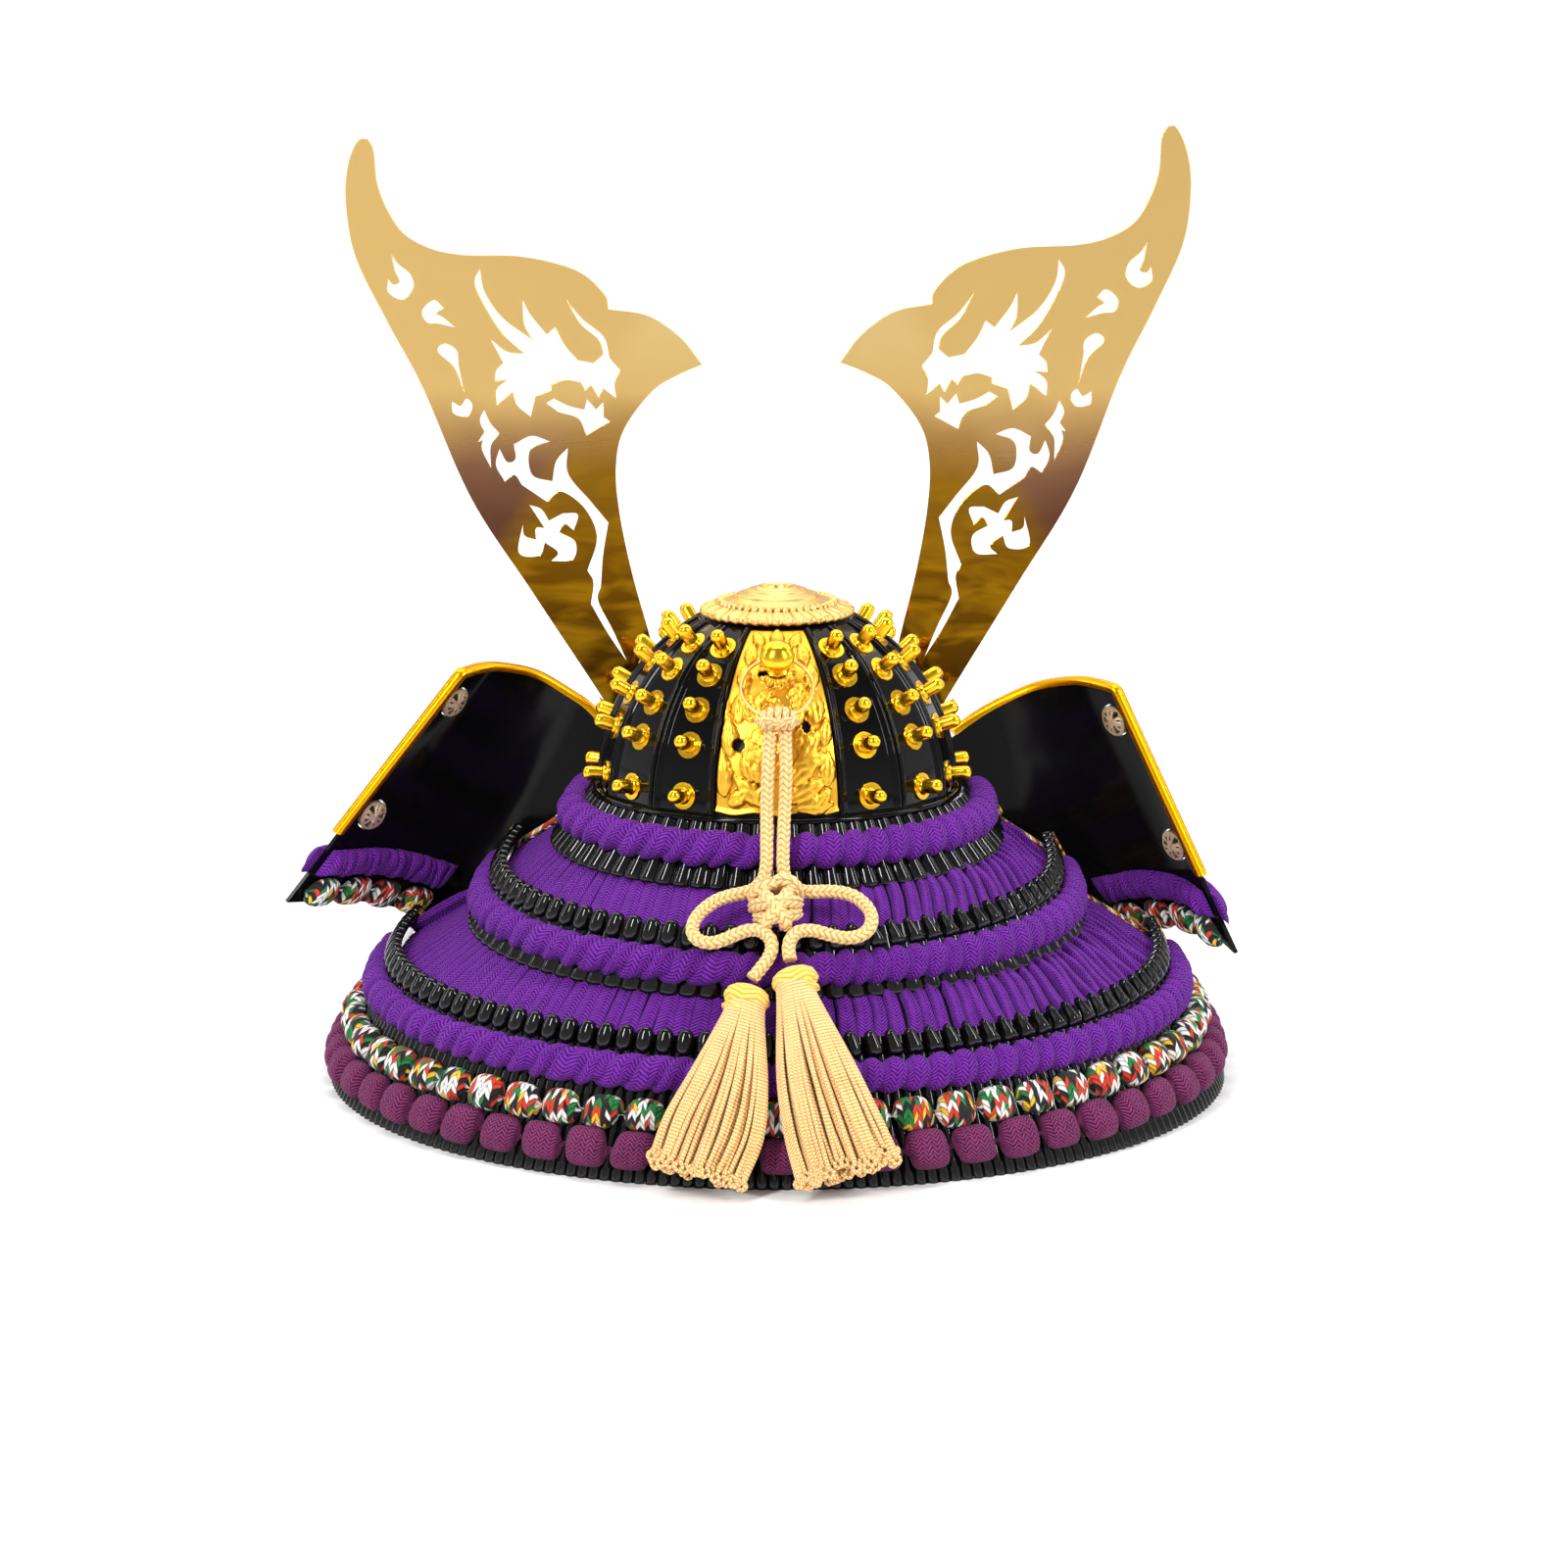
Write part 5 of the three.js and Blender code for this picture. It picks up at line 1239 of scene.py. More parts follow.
for row, finish in zip(KNOTS, (mixed_braid, maroon_braid)):
    length, s_at = neck_run("lame3Top", "lame3Foot", row["at"])

    def on_lame(runs, s_at=s_at, row=row):
        s = s_at(runs)
        point, along, fall, out = neck_frame("lame3Top", "lame3Foot", s,
                                             row["at"] - 0.025 * np.clip(s * 1.5, -1, 1))
        return point, fall, out

    front, back, uv = knot_row(length, on_lame, row["half"], row["bulge"], row["pitch"], 5,
                               0.88 if finish is mixed_braid else 0.86)
    short = "mixed" if finish is mixed_braid else "maroon"
    shape(f"knots_{short}", [slab(neck(front), neck(back), uv)], finish,
          "mixedbraid" if short == "mixed" else "maroonsilk",
          [row["name"]], flat_angle=75)

# Two thin braids of the five colours run down each front end of the tiers, and a plump one joins the two
# lower tiers there.
edge_braid = fleck_finish("edge_braid", 4, 1.4)
edge_parts = []
for top, foot, first, last in (("lame1Top", "lame1Foot", 0.7, 1.0), ("band1Top", "band1Foot", 0.0, 1.0),
                               ("lame2Top", "lame2Foot", 0.02, 0.4), ("band2Top", "band2Foot", 0.0, 1.0),
                               ("lame3Top", "lame3Foot", 0.0, 0.16), ("lame3Top", "lame3Foot", 0.36, 0.44)):
    for end in (-1, 1):
        for inset in (1.5, 4.2):
            downs = np.linspace(first, last, 16)
            length, s_at = neck_run(top, foot, 0.5)
            s = s_at(inset if end < 0 else length - inset)
            point, along, fall, out = neck_frame(top, foot, np.full(16, float(s)), downs)
            edge_parts.append(tube(neck(point + out * 1.7), 1.15, 10))
for end in (-0.992, 0.992):
    start = neck_frame("band2Top", "band2Foot", end, 0.86)
    finish_at = neck_frame("lame3Top", "lame3Foot", end, 0.1)
    line = np.linspace(start[0] + start[3] * 3.0, finish_at[0] + finish_at[3] * 1.0, 15)
    plump = 5.0 * np.sin(np.pi * np.linspace(0.06, 0.94, 15)) ** 0.45
    edge_parts.append(tube(neck(line), plump, 24))
shape("edge_braids", edge_parts, edge_braid, "mixedbraid")

# ---------------------------------------------------------------- turn-backs
# At each end of the neck guard's top tier a broad black lacquered panel turns back beside the bowl. Its top
# and outer edges carry a gilt edging, and two round openwork crests are set into it near the outer edge.
TURNBACKS = {
    "left": {
        "top": [(-54, 45, 2), (-64, 50, 14), (-73, 51, 20.5), (-83.5, 49.5, 27), (-95, 43, 31),
                (-101, 37.5, 32), (-107, 30, 32)],
        "foot": [(-113, 50, -60), (-122, 49, -57), (-130, 45, -54), (-139, 39.5, -50.5), (-149, 32, -47.5),
                 (-158, 25, -46),
                 (-167, 18, -44.5)],
    },
    "right": {
        "top": [(54, 44, 2), (66, 49.5, 10), (76, 51, 16), (89, 49, 22.5), (101, 43, 26), (108, 37, 26.8),
                (114.6, 30, 26.5)],
        "foot": [(110, 49, -64), (119, 44.5, -60.4), (127, 40, -58.6), (134, 36, -57.2), (143, 28.5, -56.8),
                 (150, 21.5, -58),
                 (156, 14, -61.6)],
    },
}
TRIM_END = 0.69
PANEL_T = 1.5
CREST_SPOTS = {"upper": (0.875, 0.13), "lower": (0.875, 0.62)}
CREST_HOLE_R = 5.9
CREST_R = 5.4


def curve_at(points, k):
    """Places 0..1 on a smooth curve through points."""
    points = np.asarray(points, float)
    points = np.concatenate([[2 * points[0] - points[1]], points, [2 * points[-1] - points[-2]]])
    k = np.clip(np.asarray(k, float), 0, 1) * (len(points) - 3)
    n = np.minimum(np.floor(k).astype(int), len(points) - 4)
    t = (k - n)[..., None]
    a, b, c, d = (points[n + i] for i in range(4))
    return 0.5 * (2 * b + (c - a) * t + (2 * a - 5 * b + 4 * c - d) * t ** 2 + (3 * b - a - 3 * c + d)
                  * t ** 3)


def panel_frame(side, across, down):
    wing = TURNBACKS[side]
    across, down = np.broadcast_arrays(np.asarray(across, float), np.asarray(down, float))

    def spot(u):
        high, low = curve_at(wing["top"], u), curve_at(wing["foot"], u)
        return high + (low - high) * down[..., None]

    point = spot(across)
    along = unit(spot(across + 0.02) - spot(across - 0.02))
    fall = unit(curve_at(wing["foot"], across) - curve_at(wing["top"], across))
    out = unit(np.cross(along, fall))
    return point, along, fall, np.where(out[..., 1:2] > 0, -out, out)


def pierced_slab(front, back, holes):
    """A closed sheet between two grids with round holes: (centre, direction u, direction v, radius)."""
    faces = grid_faces(*front.shape[:2])
    front, back = front.reshape(-1, 3).copy(), back.reshape(-1, 3).copy()
    kept = np.ones(len(faces), bool)
    for centre, u, v, radius in holes:
        rel = front[faces].mean(1) - centre
        kept &= np.hypot(rel @ u, rel @ v) > radius
    on_edge = {k for edge in open_edges(faces[kept]) for k in edge}
    for centre, u, v, radius in holes:
        for sheet in (front, back):
            for k in on_edge:
                rel = sheet[k] - centre
                x, y = rel @ u, rel @ v
                far = math.hypot(x, y)
                if far < radius * 1.35:
                    sheet[k] += (u * x + v * y) * (radius / far - 1)
    return two_sided(front, back, faces[kept], np.zeros((len(front), 2)))


def crest_disc():
    """A small domed disc with three veined leaves and openings between them, drawn about +Z."""
    rings, around = 12, 72
    radius = np.linspace(0.02, 1, rings) * CREST_R
    angle = np.arange(around + 1) / around * 2 * np.pi
    r, a = np.meshgrid(radius, angle, indexing="ij")
    dome = 0.9 + 1.3 * (1 - (r / CREST_R) ** 2)
    leaf = np.abs(np.cos(a * 1.5)) ** 0.7
    vein = np.cos(a * 15 + r * 1.6) * np.clip(r / 3, 0, 1)
    rim = np.clip((r - 4.6) / 0.5, 0, 1)
    high = dome + 0.3 * leaf + 0.16 * vein * (1 - rim) + 0.25 * rim
    front = np.stack([r * np.cos(a), r * np.sin(a), high], -1)
    back = np.stack([r * np.cos(a), r * np.sin(a), np.full_like(r, 0.2)], -1)
    faces = grid_faces(rings, around + 1)
    middle_r = r.ravel()[faces].mean(1)
    middle_a = a.ravel()[faces].mean(1)
    open_at = (np.abs(np.cos(middle_a * 1.5)) < 0.42) & (middle_r > 1.5) & (middle_r < 4.4)
    open_at |= (np.abs(np.cos(middle_a * 4.5)) < 0.3) & (middle_r > 2.6) & (middle_r < 3.9)
    kept = faces[~open_at]
    count = rings * (around + 1)
    every = [*kept, *(kept[:, ::-1] + count), *([b, a, a + count, b + count] for a, b in open_edges(kept))]
    return np.concatenate([front.reshape(-1, 3), back.reshape(-1, 3)]), [f[::-1] for f in every]


panel_lacquer = black_finish("panel_lacquer", (0.002, 0.002, 0.0022), (0.004, 0.004, 0.0045),
                             (0.12, 0.06, 0.8), 0.17,
                             (9, 1, 0.05, 0.2))
crest_gilt = gold_finish("crest_gilt", srgb(255, 232, 192), srgb(110, 84, 56), 0.5, 0.04)
trim_gilt = gold_finish("trim_gilt", srgb(240, 172, 16), srgb(150, 84, 2), 0.24, 0.01)

for side in TURNBACKS:
    flip = 1 if side == "left" else -1
    across, down = np.meshgrid(np.linspace(0, 1, 61), np.linspace(0, 1, 81), indexing="ij")
    point, along, fall, out = panel_frame(side, across, down)
    holes = []
    for u, v in CREST_SPOTS.values():
        centre, h_along, _, h_out = panel_frame(side, u, v)
        holes.append((centre, h_along, unit(np.cross(h_out, h_along)), CREST_HOLE_R))
    front, back = point, point - out * PANEL_T
    if np.dot(np.cross(along[30, 40], fall[30, 40]), out[30, 40]) > 0:
        front, back = front[:, ::-1], back[:, ::-1]
    shape(f"wing_panel_{side}", [pierced_slab(front, back, holes)], panel_lacquer, "lacquer",
          [f"turnback_panel_{side}"], flat_angle=50)

    spots = [(u, 0.0, 0.0, 1.0) for u in np.linspace(0.1, 0.985, 46)]
    spots += [(1.0, 0.0, math.sin(t), math.cos(t)) for t in np.linspace(0.25, 1.35, 6)]
    spots += [(1.0, v, 1.0, 0.0) for v in np.linspace(0.01, TRIM_END, 34)]
    edge = [(0.15, -2.9), (1.6, -2.8), (2.4, -2.2), (2.8, -1.2), (2.8, -0.2), (2.3, 0.8), (1.5, 1.35),
            (0.15, 1.45)]
    sections = []
    for u, v, sideways, upward in spots:
        point, along, fall, out = panel_frame(side, u, v)
        away = along * sideways - fall * upward
        sections.append([point + away * reach + out * lift for reach, lift in edge])
    sections = np.array(sections)[:, ::flip]
    shape(f"wing_edging_{side}", [loft(sections)], trim_gilt, "gilt", [f"turnback_trim_{side}"],
          flat_angle=60)

    for name, (u, v) in CREST_SPOTS.items():
        point, along, fall, out = panel_frame(side, u, v)
        disc_points, disc_faces = crest_disc()
        frame_turn = np.stack([along, np.cross(out, along), out], 1)
        places = [(disc_points - (0, 0, 0.5)) @ frame_turn.T + point]
        parts = [(places[0], disc_faces)]
        parts.append((((disc_points - (0, 0, 0.5)) * (1, -1, -1)) @ frame_turn.T + point - out * PANEL_T,
                      disc_faces))
        shape(f"wing_crest_{name}_{side}", parts, crest_gilt, "palegilt", [f"turnback_crest_{name}_{side}"],
              flat_angle=50)

# The lower strip of each turn-back is laced like the tiers: a purple roll, which also shows on the other
# face,
# and under it a row of small knots in five colours.
WING_ROLL = {"at": 0.82, "half": 5.5, "bulge": 4.6, "pitch": 3.5, "sunk": 0.9}
WING_KNOTS = {"at": 0.945, "half": 5.0, "bulge": 4.6, "number": 4.4}
for side in TURNBACKS:
    for face, name, first, last, base in ((1, "back", 0.2, 0.97, 1.3),
                                          (-1, "front", 0.5, 1.0, PANEL_T + 0.5)):
        u = np.linspace(first, last, 150)
        around = np.linspace(0, 1, 17)
        us, arounds = np.meshgrid(u, around, indexing="ij")
        point, along, fall, out = panel_frame(side, us, WING_ROLL["at"])
        steps = run_along(point[:, 8])
        runs = np.broadcast_to(steps[:, None], us.shape)
        length = steps[-1]
        folds = (runs + 1.6 * (arounds - 0.5) + 0.9 * np.sin(runs * 0.5 + 5 * arounds)) / WING_ROLL["pitch"]
        pillow = np.clip(1 - (2 * (folds - np.floor(folds)) - 1) ** 2, 0, 1) ** 0.5
        pillow = pillow * (0.8 + 0.2 * np.sin(np.floor(folds) * 2.3))
        end = np.clip(np.minimum(runs, length - runs) / 3, 0.05, 1) ** 0.5
        fall_by, lift_by = padded_section(WING_ROLL["half"], WING_ROLL["bulge"], arounds)
        size = 0.68 + 0.34 * pillow
        push = along * (3.0 * np.clip((us - 0.9) / 0.1, 0, 1) * (face < 0))[..., None]
        foot_at = base - WING_ROLL["sunk"]
        raised = face * (foot_at + (WING_ROLL["sunk"] + lift_by) * size * end)
        front = point + push + fall * (fall_by * size)[..., None] + out * raised[..., None]
        back = point + push + fall * (fall_by * 0.9)[..., None] + out * (face * foot_at)
        if np.dot(np.cross(along[60, 8], fall[60, 8]), out[60, 8]) * face > 0:
            front, back, runs, arounds = (x[:, ::-1] for x in (front, back, runs, arounds))
        shape(f"wing_roll_{name}_{side}", [slab(front, back,
                                                np.stack([runs / WING_ROLL["pitch"] * 0.6, arounds * 16],
                                                         -1))], roll_silk, "purplesilk",
              [f"turnback_roll_{name}_{side}"], flat_angle=75)

    us = np.linspace(0.2, 0.96, 200)
    line = panel_frame(side, us, WING_KNOTS["at"])[0]
    steps = run_along(line)

    def on_strip(runs, side=side, us=us, steps=steps):
        point, along, fall, out = panel_frame(side, np.interp(runs, steps, us), WING_KNOTS["at"])
        return point + out * 0.8, fall, out

    front, back, uv = knot_row(steps[-1], on_strip, WING_KNOTS["half"], WING_KNOTS["bulge"],
                               steps[-1] / WING_KNOTS["number"], 9)
    if side == "right":
        front, back, uv = front[:, ::-1], back[:, ::-1], uv[:, ::-1]
    shape(f"wing_knots_{side}", [slab(front, back, uv)], mixed_braid, "mixedbraid",
          [f"turnback_knots_{side}"], flat_angle=75)

# ---------------------------------------------------------------- visor
# A narrow black lacquered peak is fixed along the front of the bowl. Its edge has a thin gilt binding.
VISOR_HALF = 46
VISOR_ROOT = 60.8
VISOR_T = 1.4


def on_visor(azimuth, across, lift):
    azimuth, across = np.broadcast_arrays(np.asarray(azimuth, float), np.asarray(across, float))
    width = 4 + 22 * np.cos(np.radians(azimuth * 90 / VISOR_HALF)) ** 2
    r = VISOR_ROOT + width * across
    a = np.radians(azimuth)
    return np.stack([r * np.sin(a), r * np.cos(a), -0.3 - 0.5 * width * across ** 1.5 + lift], -1)


across, azimuths = np.meshgrid(np.linspace(0, 1, 16), np.linspace(-VISOR_HALF, VISOR_HALF, 91), indexing="ij")
swell = 0.5 * np.sin(np.pi * across)
visor_body = slab(lean(on_visor(azimuths, across, swell))[:, ::-1],
                  lean(on_visor(azimuths, across, -VISOR_T))[:, ::-1])
shape("peak", [visor_body], lacquer, "lacquer", ["visor"], flat_angle=50)

BINDING = [(0.15, -1.4), (1.2, -1.45), (2.0, -1.1), (2.5, -0.4), (2.5, 0.4), (2.0, 1.1), (1.2, 1.45),
           (0.15, 1.4)]
binding = []
for azimuth in np.linspace(-VISOR_HALF, VISOR_HALF, 91):
    a = math.radians(azimuth)
    edge = on_visor(azimuth, 1.0, -VISOR_T / 2)
    out = np.array([math.sin(a), math.cos(a), 0])
    binding.append(lean([edge + out * reach + (0, 0, lift) for reach, lift in BINDING]))
shape("peak_binding", [loft(binding)], trim_gilt, "gilt", ["visor_rim"], flat_angle=60)

# ---------------------------------------------------------------- crest horns
# Two tall horns of thin brushed brass stand ahead of the bowl in a leaning plane. Each is cut from one sheet,
# with a dragon among clouds and small sparks cut through it, and the left one mirrors the right one.
# Outlines run away from the middle and up the sheet. Each stroke starts at a corner.
HORN_T = 1.2
HORN_LEAN = math.radians(8)
HORN_Y = 66
HORN_BEVEL = 0.18
CREST_ROLL = math.radians(0.9)
HORN_OUTLINE = [
    [(34, 0), (39, 20), (43.5, 38), (49, 59), (53, 80), (54, 96), (51, 109), (41, 122), (32, 127.5)],
    [(23.5, 131), (31, 140.5), (42, 148)],
    [(55.5, 150.5), (57, 156), (66.5, 164), (85, 169), (106, 170), (118, 173), (127, 179.5),
     (133.5, 193), (135, 206)],
    [(137, 210), (140.5, 209.5), (144, 201), (145, 188), (142, 169.5), (131.5, 147), (120, 124.5),
     (104, 86), (84, 54), (63, 21)], [(50, 0)],
]
HORN_GAPS = {
    "spark_high": [
        [(129.5, 170), (127.5, 167), (123.5, 163.5), (122.5, 159), (126.5, 155), (131, 157.5)],
        [(131, 162), (129.5, 160), (127, 161), (128.5, 165)],
    ],
    "spark_middle": [
        [(108.5, 145), (114, 146.5), (118, 147), (119.5, 151), (115.5, 154.5)],
        [(112.5, 152), (115, 150), (112.5, 148.5)],
    ],
    "spark_drop": [
        [(106, 124), (107.5, 132), (108, 137), (112, 139.5), (114.5, 137), (109, 131.5)],
    ],
    "spark_low": [
        [(110, 119.5), (107, 118), (105, 120.5), (103, 118), (105, 114.5), (109.5, 115.5)],
    ],
    "head": [
        [(99.5, 165), (98, 157), (92, 148)], [(81.5, 140), (84.5, 146)], [(85, 154), (82.5, 149)],
        [(77, 142)], [(74, 144.5), (71, 138.5)], [(66.5, 133)], [(61, 132)],
        [(57.5, 135), (59, 140), (65, 145.5)], [(69, 152.5), (64.5, 147), (57.5, 141)], [(55.5, 133.5)],
        [(52, 129.5), (54, 125)], [(53.5, 120)], [(58, 123.5)], [(59.5, 120.5)], [(62, 125)], [(64, 123)],
        [(65.5, 125.5), (71, 126.5)], [(76, 125)], [(76, 123)], [(81.5, 121)], [(83, 114), (87.5, 118)],
        [(89, 123)], [(94.5, 118.5), (94.5, 123.5)], [(90.5, 127)], [(95, 126.5), (94.5, 130)],
        [(92, 132.5)], [(96, 140.5), (91, 136.5)], [(84.5, 135.5), (93, 144), (101, 159)],
    ],
    "jaw": [
        [(77.5, 118.5)], [(75, 120), (70, 117.5)], [(64.5, 116)], [(63.5, 119.5)], [(60.5, 116)],
        [(58, 118.5)], [(58, 113.5)], [(56, 112)], [(64, 107.5), (66.5, 113)], [(73.5, 115.5)],
    ],
    "flame": [
        [(99, 116.5), (97, 112)], [(94, 108.5), (97, 104)], [(97, 96.5), (100, 103)], [(99.5, 106.5)],
        [(101, 106)], [(99, 109), (100.5, 113)],
    ],
    "scroll": [
        [(77, 105.5), (83, 107.3)], [(89, 104.5), (88.5, 99.5), (91.5, 98.5)], [(94, 103), (95.3, 97.5)],
        [(92.5, 92), (89, 94)], [(86.5, 90.5)], [(81.5, 87)], [(78, 84.5), (73, 88), (65, 82), (61, 72)],
        [(64.5, 60.5), (62.5, 56.5)], [(63.5, 49), (58, 39)], [(51.5, 29), (56, 39.5), (61, 50)],
        [(60, 55), (59, 66)], [(57, 77), (63, 84.5), (70.5, 94)], [(70.5, 103), (74.5, 98.5)],
        [(76, 91.5), (83, 94), (83.5, 102.5)],
    ],
    "curl": [
        [(84, 83.5), (80, 82)], [(77.5, 78)], [(72.5, 80.5), (67.5, 80)], [(69, 74.5), (72, 76.8)],
        [(74, 74), (68.5, 70.5), (69.5, 64.5)], [(77, 64), (74.5, 67)], [(79, 70.5), (81, 66), (88, 67)],
        [(86.5, 77), (86, 73)], [(82, 71.5), (82, 75.5)], [(79, 75.5)],
    ],
}


def stroke_points(strokes, spacing=0.8):
    """A closed outline: a smooth line through each stroke, up to the next stroke's corner."""
    outline = []
    for stroke, after in zip(strokes, strokes[1:] + strokes[:1]):
        through = [*stroke, after[0]]
        outline.extend([through[0]] if len(through) == 2 else smooth_route(through, spacing)[:-1])
    return np.array(outline, float)


def cut_sheet(name, outline, gaps, thick, bevel):
    """A flat sheet with holes, its edges a little rounded, as points in mm and faces."""
    curve = bpy.data.curves.new(name, "CURVE")
    curve.dimensions = "2D"
    curve.fill_mode = "BOTH"
    curve.extrude = thick / 2 - bevel
    curve.bevel_depth = bevel
    curve.bevel_resolution = 1
    curve.offset = -bevel
    for line in (outline, *gaps):
        spline = curve.splines.new("POLY")
        spline.points.add(len(line) - 1)
        spline.points.foreach_set("co", np.column_stack([line, np.zeros(len(line)),
                                                         np.ones(len(line))]).ravel())
        spline.use_cyclic_u = True
    holder = bpy.data.objects.new(name, curve)
    scene.collection.objects.link(holder)
    mesh = bpy.data.meshes.new_from_object(holder.evaluated_get(bpy.context.evaluated_depsgraph_get()))
    points = np.empty(len(mesh.vertices) * 3)
    mesh.vertices.foreach_get("co", points)
    faces = [list(polygon.vertices) for polygon in mesh.polygons]
    bpy.data.objects.remove(holder)
    bpy.data.meshes.remove(mesh)
    bpy.data.curves.remove(curve)
    return points.reshape(-1, 3), faces


def crest_plane(points):
    """Places in a sheet (away, up, depth) to the leaning plane that the crest stands in."""
    return swung(points, math.pi / 2 - HORN_LEAN, 1, 2) + (0, HORN_Y, 0)


horn_brass = Finish("horn_brass")


def stretched_noise(rise, **look):
    """Noise drawn out sideways: the more rise, the finer it is from low to high."""
    where = horn_brass.read("Mapping", 0, {0: horn_brass.place(), 3: (1.0, 1.0, rise)})
    return horn_brass.read("TexNoise", "Fac", {"Vector": where, **look})


brushed = stretched_noise(26.0, Scale=90.0, Detail=4.0)
streaks = stretched_noise(3.4, Scale=42.0, Detail=2.0, Distortion=0.6)
sideways, _, height = horn_brass.split(horn_brass.place())
# Painted reflection: the brass is coloured darker and browner low down than up high, and mauve on the outer
# side of the lower part.
brass_tone = (horn_brass.read("MapRange", 0, {0: height, 1: FOOT.z, 2: FOOT.z + 0.2})
              + horn_brass.noise(40, 2) * 0.1)
PALE_BRASS = (0.65, srgb(240, 200, 124))
golden = horn_brass.ramp(brass_tone, [(0.15, srgb(76, 45, 6)), (0.36, srgb(138, 92, 14)),
                                      (0.51, srgb(166, 118, 30)),
                                      (0.58, srgb(196, 150, 84)), PALE_BRASS, (1.0, srgb(255, 230, 166))])
mauve = horn_brass.ramp(brass_tone, [(0.3, srgb(100, 62, 30)), (0.44, srgb(124, 80, 58)),
                                     (0.52, srgb(156, 110, 80)),
                                     (0.58, srgb(204, 158, 98)), PALE_BRASS])
bend = abs(sideways - FOOT.x) + (height - FOOT.z) * 0.6
MAUVE_FROM, MAUVE_WHOLE = 0.1275, 0.1395
outer = horn_brass.read("MapRange", 0, {0: bend, 1: MAUVE_FROM, 2: MAUVE_WHOLE})
# Painted reflection: wavy gold streaks over the lower part of the outer side.
wave = horn_brass.ramp(streaks, [(0.42, (0, 0, 0)), (0.66, (1, 1, 1))])
low = horn_brass.ramp(brass_tone, [(0.38, (0.5, 0.5, 0.5)), (0.6, (0, 0, 0))])
reflection_streaks = horn_brass.mix(outer, horn_brass.mix(1.0, wave, low, "MULTIPLY"), (0, 0, 0))
polish = horn_brass.read("MapRange", 0, {0: brass_tone, 1: 0.35, 2: 0.62, 3: 0.05, 4: 0.3})
horn_brass.set(Base_Color=horn_brass.mix(reflection_streaks, horn_brass.mix(outer, golden, mauve), srgb(214, 156, 20)),
               Metallic=1.0, Roughness=polish + brushed * 0.06)
horn_brass.bump(horn_brass.noise(14, 1) + brushed * 0.03, 0.12, 0.35)
horn_points, horn_faces = cut_sheet("horn", stroke_points(HORN_OUTLINE),
                                    [stroke_points(gap) for gap in HORN_GAPS.values()], HORN_T, HORN_BEVEL)
horn_points = horn_points + (0, 0, HORN_T / 2)
shape("horn_sheet_right", [(crest_plane(swung(horn_points, CREST_ROLL, 0, 1)), horn_faces)], horn_brass,
      "hornbrass", ["horn_right"], flat_angle=30)
mirrored_horn = horn_points * (-1, 1, 1)
shape("horn_sheet_left", [(crest_plane(swung(mirrored_horn, CREST_ROLL, 0, 1)),
                           [f[::-1] for f in horn_faces])], horn_brass, "hornbrass",
      ["horn_left"], flat_angle=30)

# The horns stand in the square sleeves of a gilt crescent that is fixed over the peak.
HOLDER = [[(-62, 16), (-57, 8)], [(-52, 2), (-44, -4), (-36, -6), (-28, -5)], [(-20, -3.2), (0, -2.6)],
          [(20, -3.2), (28, -5), (36, -6), (44, -4)], [(52, 2), (57, 8)], [(62, 16), (57, 12.4)],
          [(50, 10), (42, 8.2)],
          [(34, 8), (25, 7.4)], [(16, 9), (8, 10.6)], [(0, 14), (-8, 10.6)], [(-16, 9), (-25, 7.4)],
          [(-34, 8), (-42, 8.2)],
          [(-50, 10), (-57, 12.4)]]
holder_points, holder_faces = cut_sheet("holder", stroke_points(HOLDER), [], 1.4, 0.3)
holder_parts = [(crest_plane(holder_points + (0, 0, -1.2)), holder_faces)]


def box_ring(middle, half_u, wall, low, high):
    """A square sleeve with an opening through it along v, drawn in the crest's plane."""
    sections = []
    for u, d in ((-1, -1), (1, -1), (1, 1), (-1, 1)):
        outer_u, outer_d = middle[0] + u * half_u, middle[2] + d * 2.0
        inner_u, inner_d = middle[0] + u * (half_u - wall), middle[2] + 0.6 + d * 1.0
        sections.append([(outer_u, low, outer_d), (outer_u, high, outer_d), (inner_u, high, inner_d),
                         (inner_u, low, inner_d)])
    points = np.array(sections).reshape(-1, 3)
    faces = grid_faces(4, 4, around_rows=True, around_columns=True)
    return crest_plane(points), list(faces)


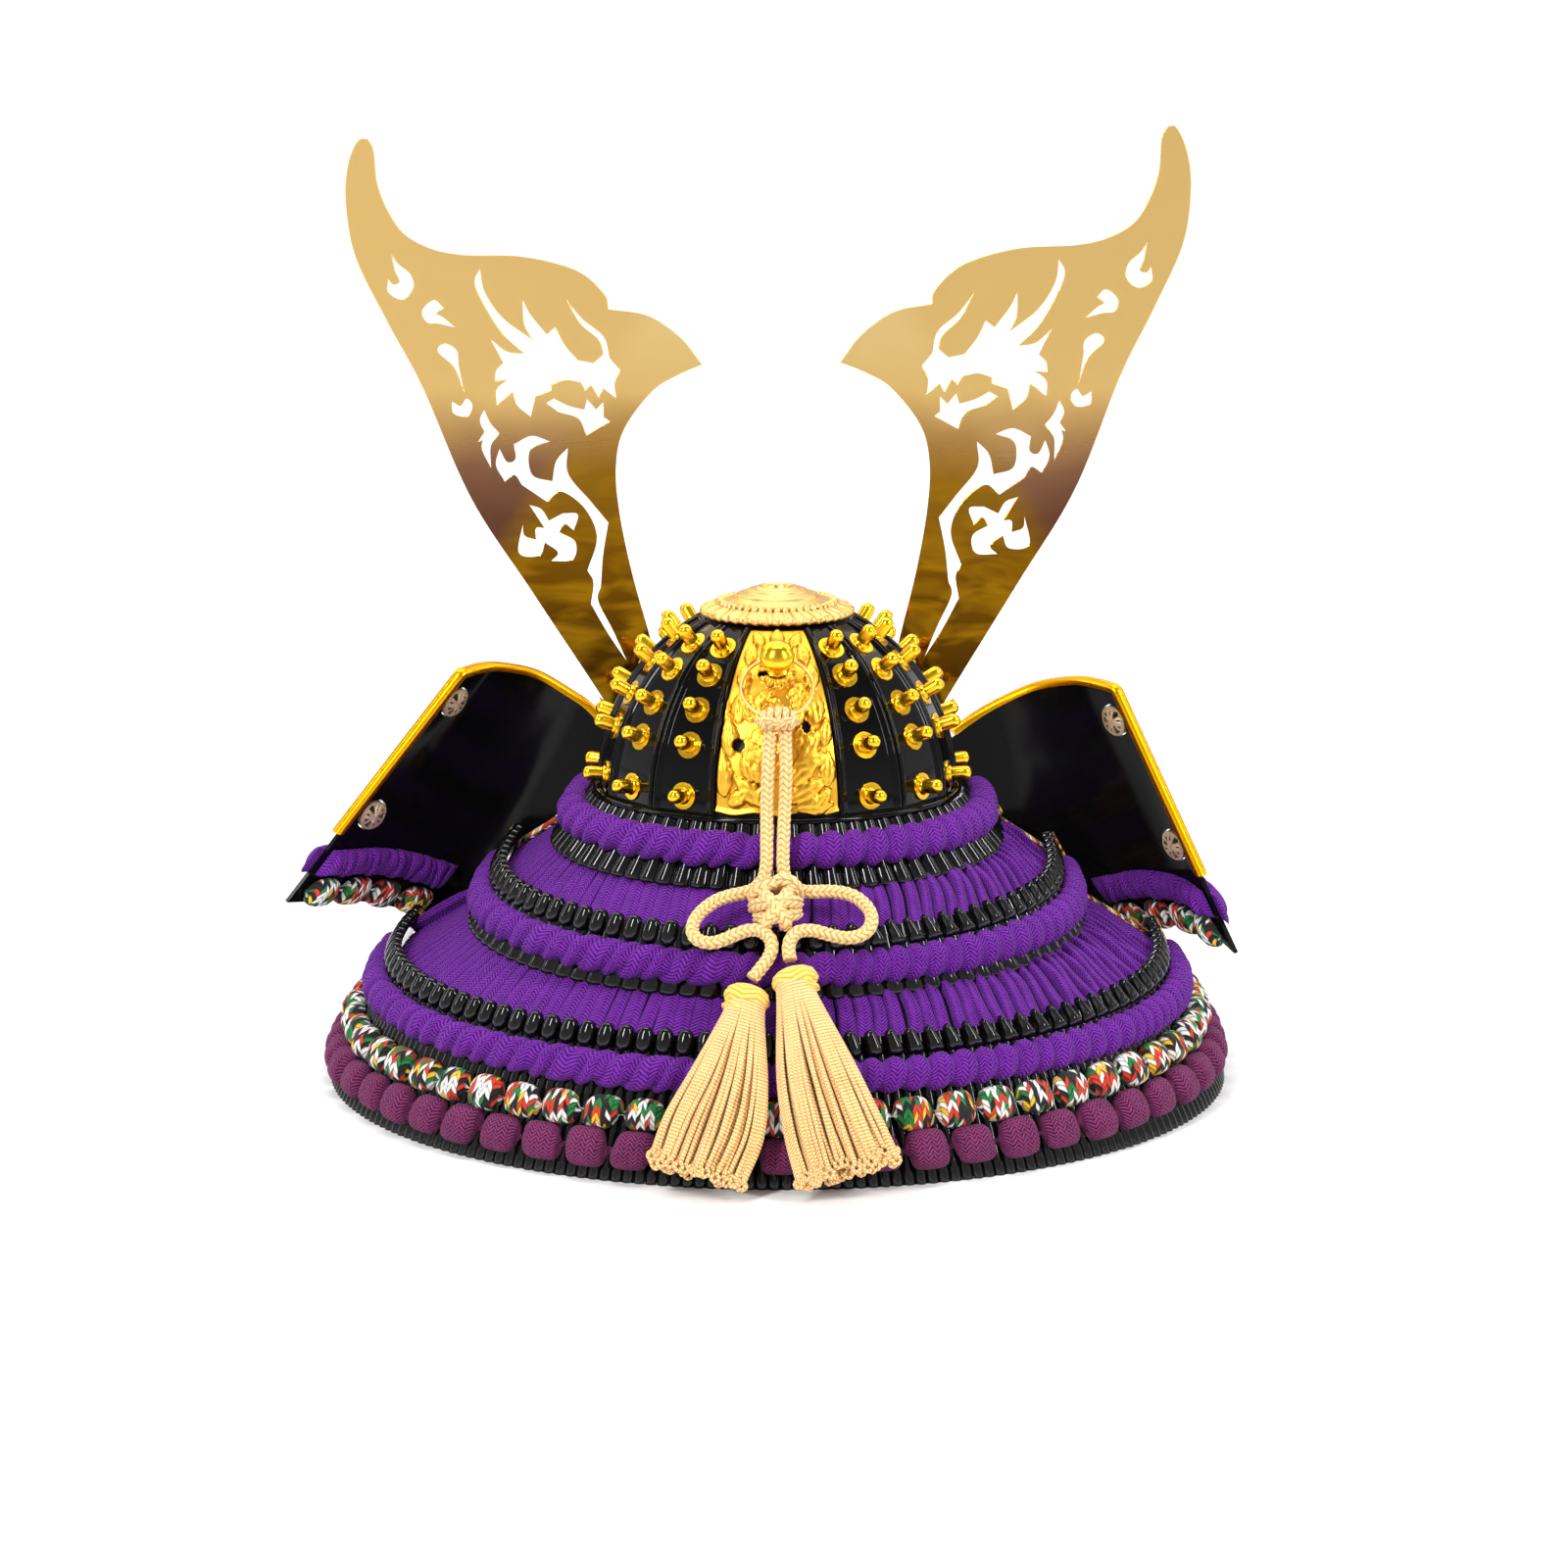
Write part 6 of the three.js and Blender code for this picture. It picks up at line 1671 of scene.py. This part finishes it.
for u in (43.5, -43.5):
    holder_parts.append(box_ring((u, 2.5, 0.0), 12.5, 1.6, -0.5, 5.5))
shape("crest_crescent", holder_parts, gilt, "gilt", ["crest_holder"], flat_angle=35)

# ---------------------------------------------------------------- ball stud and ring
# A gilt ball on a turned stem stands under the crown at the back. A thin wire ring hangs on the stem and lies
# on the cast plate, and the cord is hitched round the ring.
STUD_CLIMB = 46.7
STUD = [(0.15, 2.0), (3.0, 2.0), (3.6, 2.15), (3.7, 2.45), (3.2, 2.75), (2.5, 2.95), (2.0, 3.3), (1.8, 3.9),
        (1.85, 4.5),
        (2.2, 5.0), (2.8, 5.3), (3.1, 5.6), (3.1, 5.9), (3.9, 6.3), (5.1, 7.2), (5.75, 8.5), (5.8, 9.6),
        (5.3, 11.1),
        (4.3, 12.3), (2.9, 13.2), (1.4, 13.7), (0.15, 13.8)]
stud_out = bowl_out(0, STUD_CLIMB)
stud = set_along(turned(STUD, 56), on_bowl(0, STUD_CLIMB), stud_out)
shape("stud_ball", [(lean(stud[0]), *stud[1:])], gilt, "gilt", ["ball_stud"], flat_angle=50)

RING = {"radius": 11.9, "wire": 0.58, "hang": 9, "rests": (0, 28, 8)}
ring_neck = on_bowl(0, STUD_CLIMB, 3.7)
ring_down = unit(on_bowl(*RING["rests"]) - ring_neck)
ring_middle = ring_neck + ring_down * RING["hang"]
turns = np.linspace(0, 2 * np.pi, 121)[:-1]
ring_out = unit(np.cross((1, 0, 0), ring_down))
spokes = np.cos(turns)[:, None] * np.array((1.0, 0, 0)) + np.sin(turns)[:, None] * ring_down
round_wire = np.linspace(0, 2 * np.pi, 11)[:-1]
ring_rings = (ring_middle + spokes[:, None] * (RING["radius"] + RING["wire"]
                                               * np.cos(round_wire))[None, :, None]
              + ring_out * (RING["wire"] * np.sin(round_wire))[None, :, None])
ring_faces = list(grid_faces(120, 10, around_rows=True, around_columns=True))
shape("ring_wire", [(lean(ring_rings.reshape(-1, 3)), ring_faces)], pale_gilt, "gilt", ["hanging_ring"])

# ---------------------------------------------------------------- sizes
low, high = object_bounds()
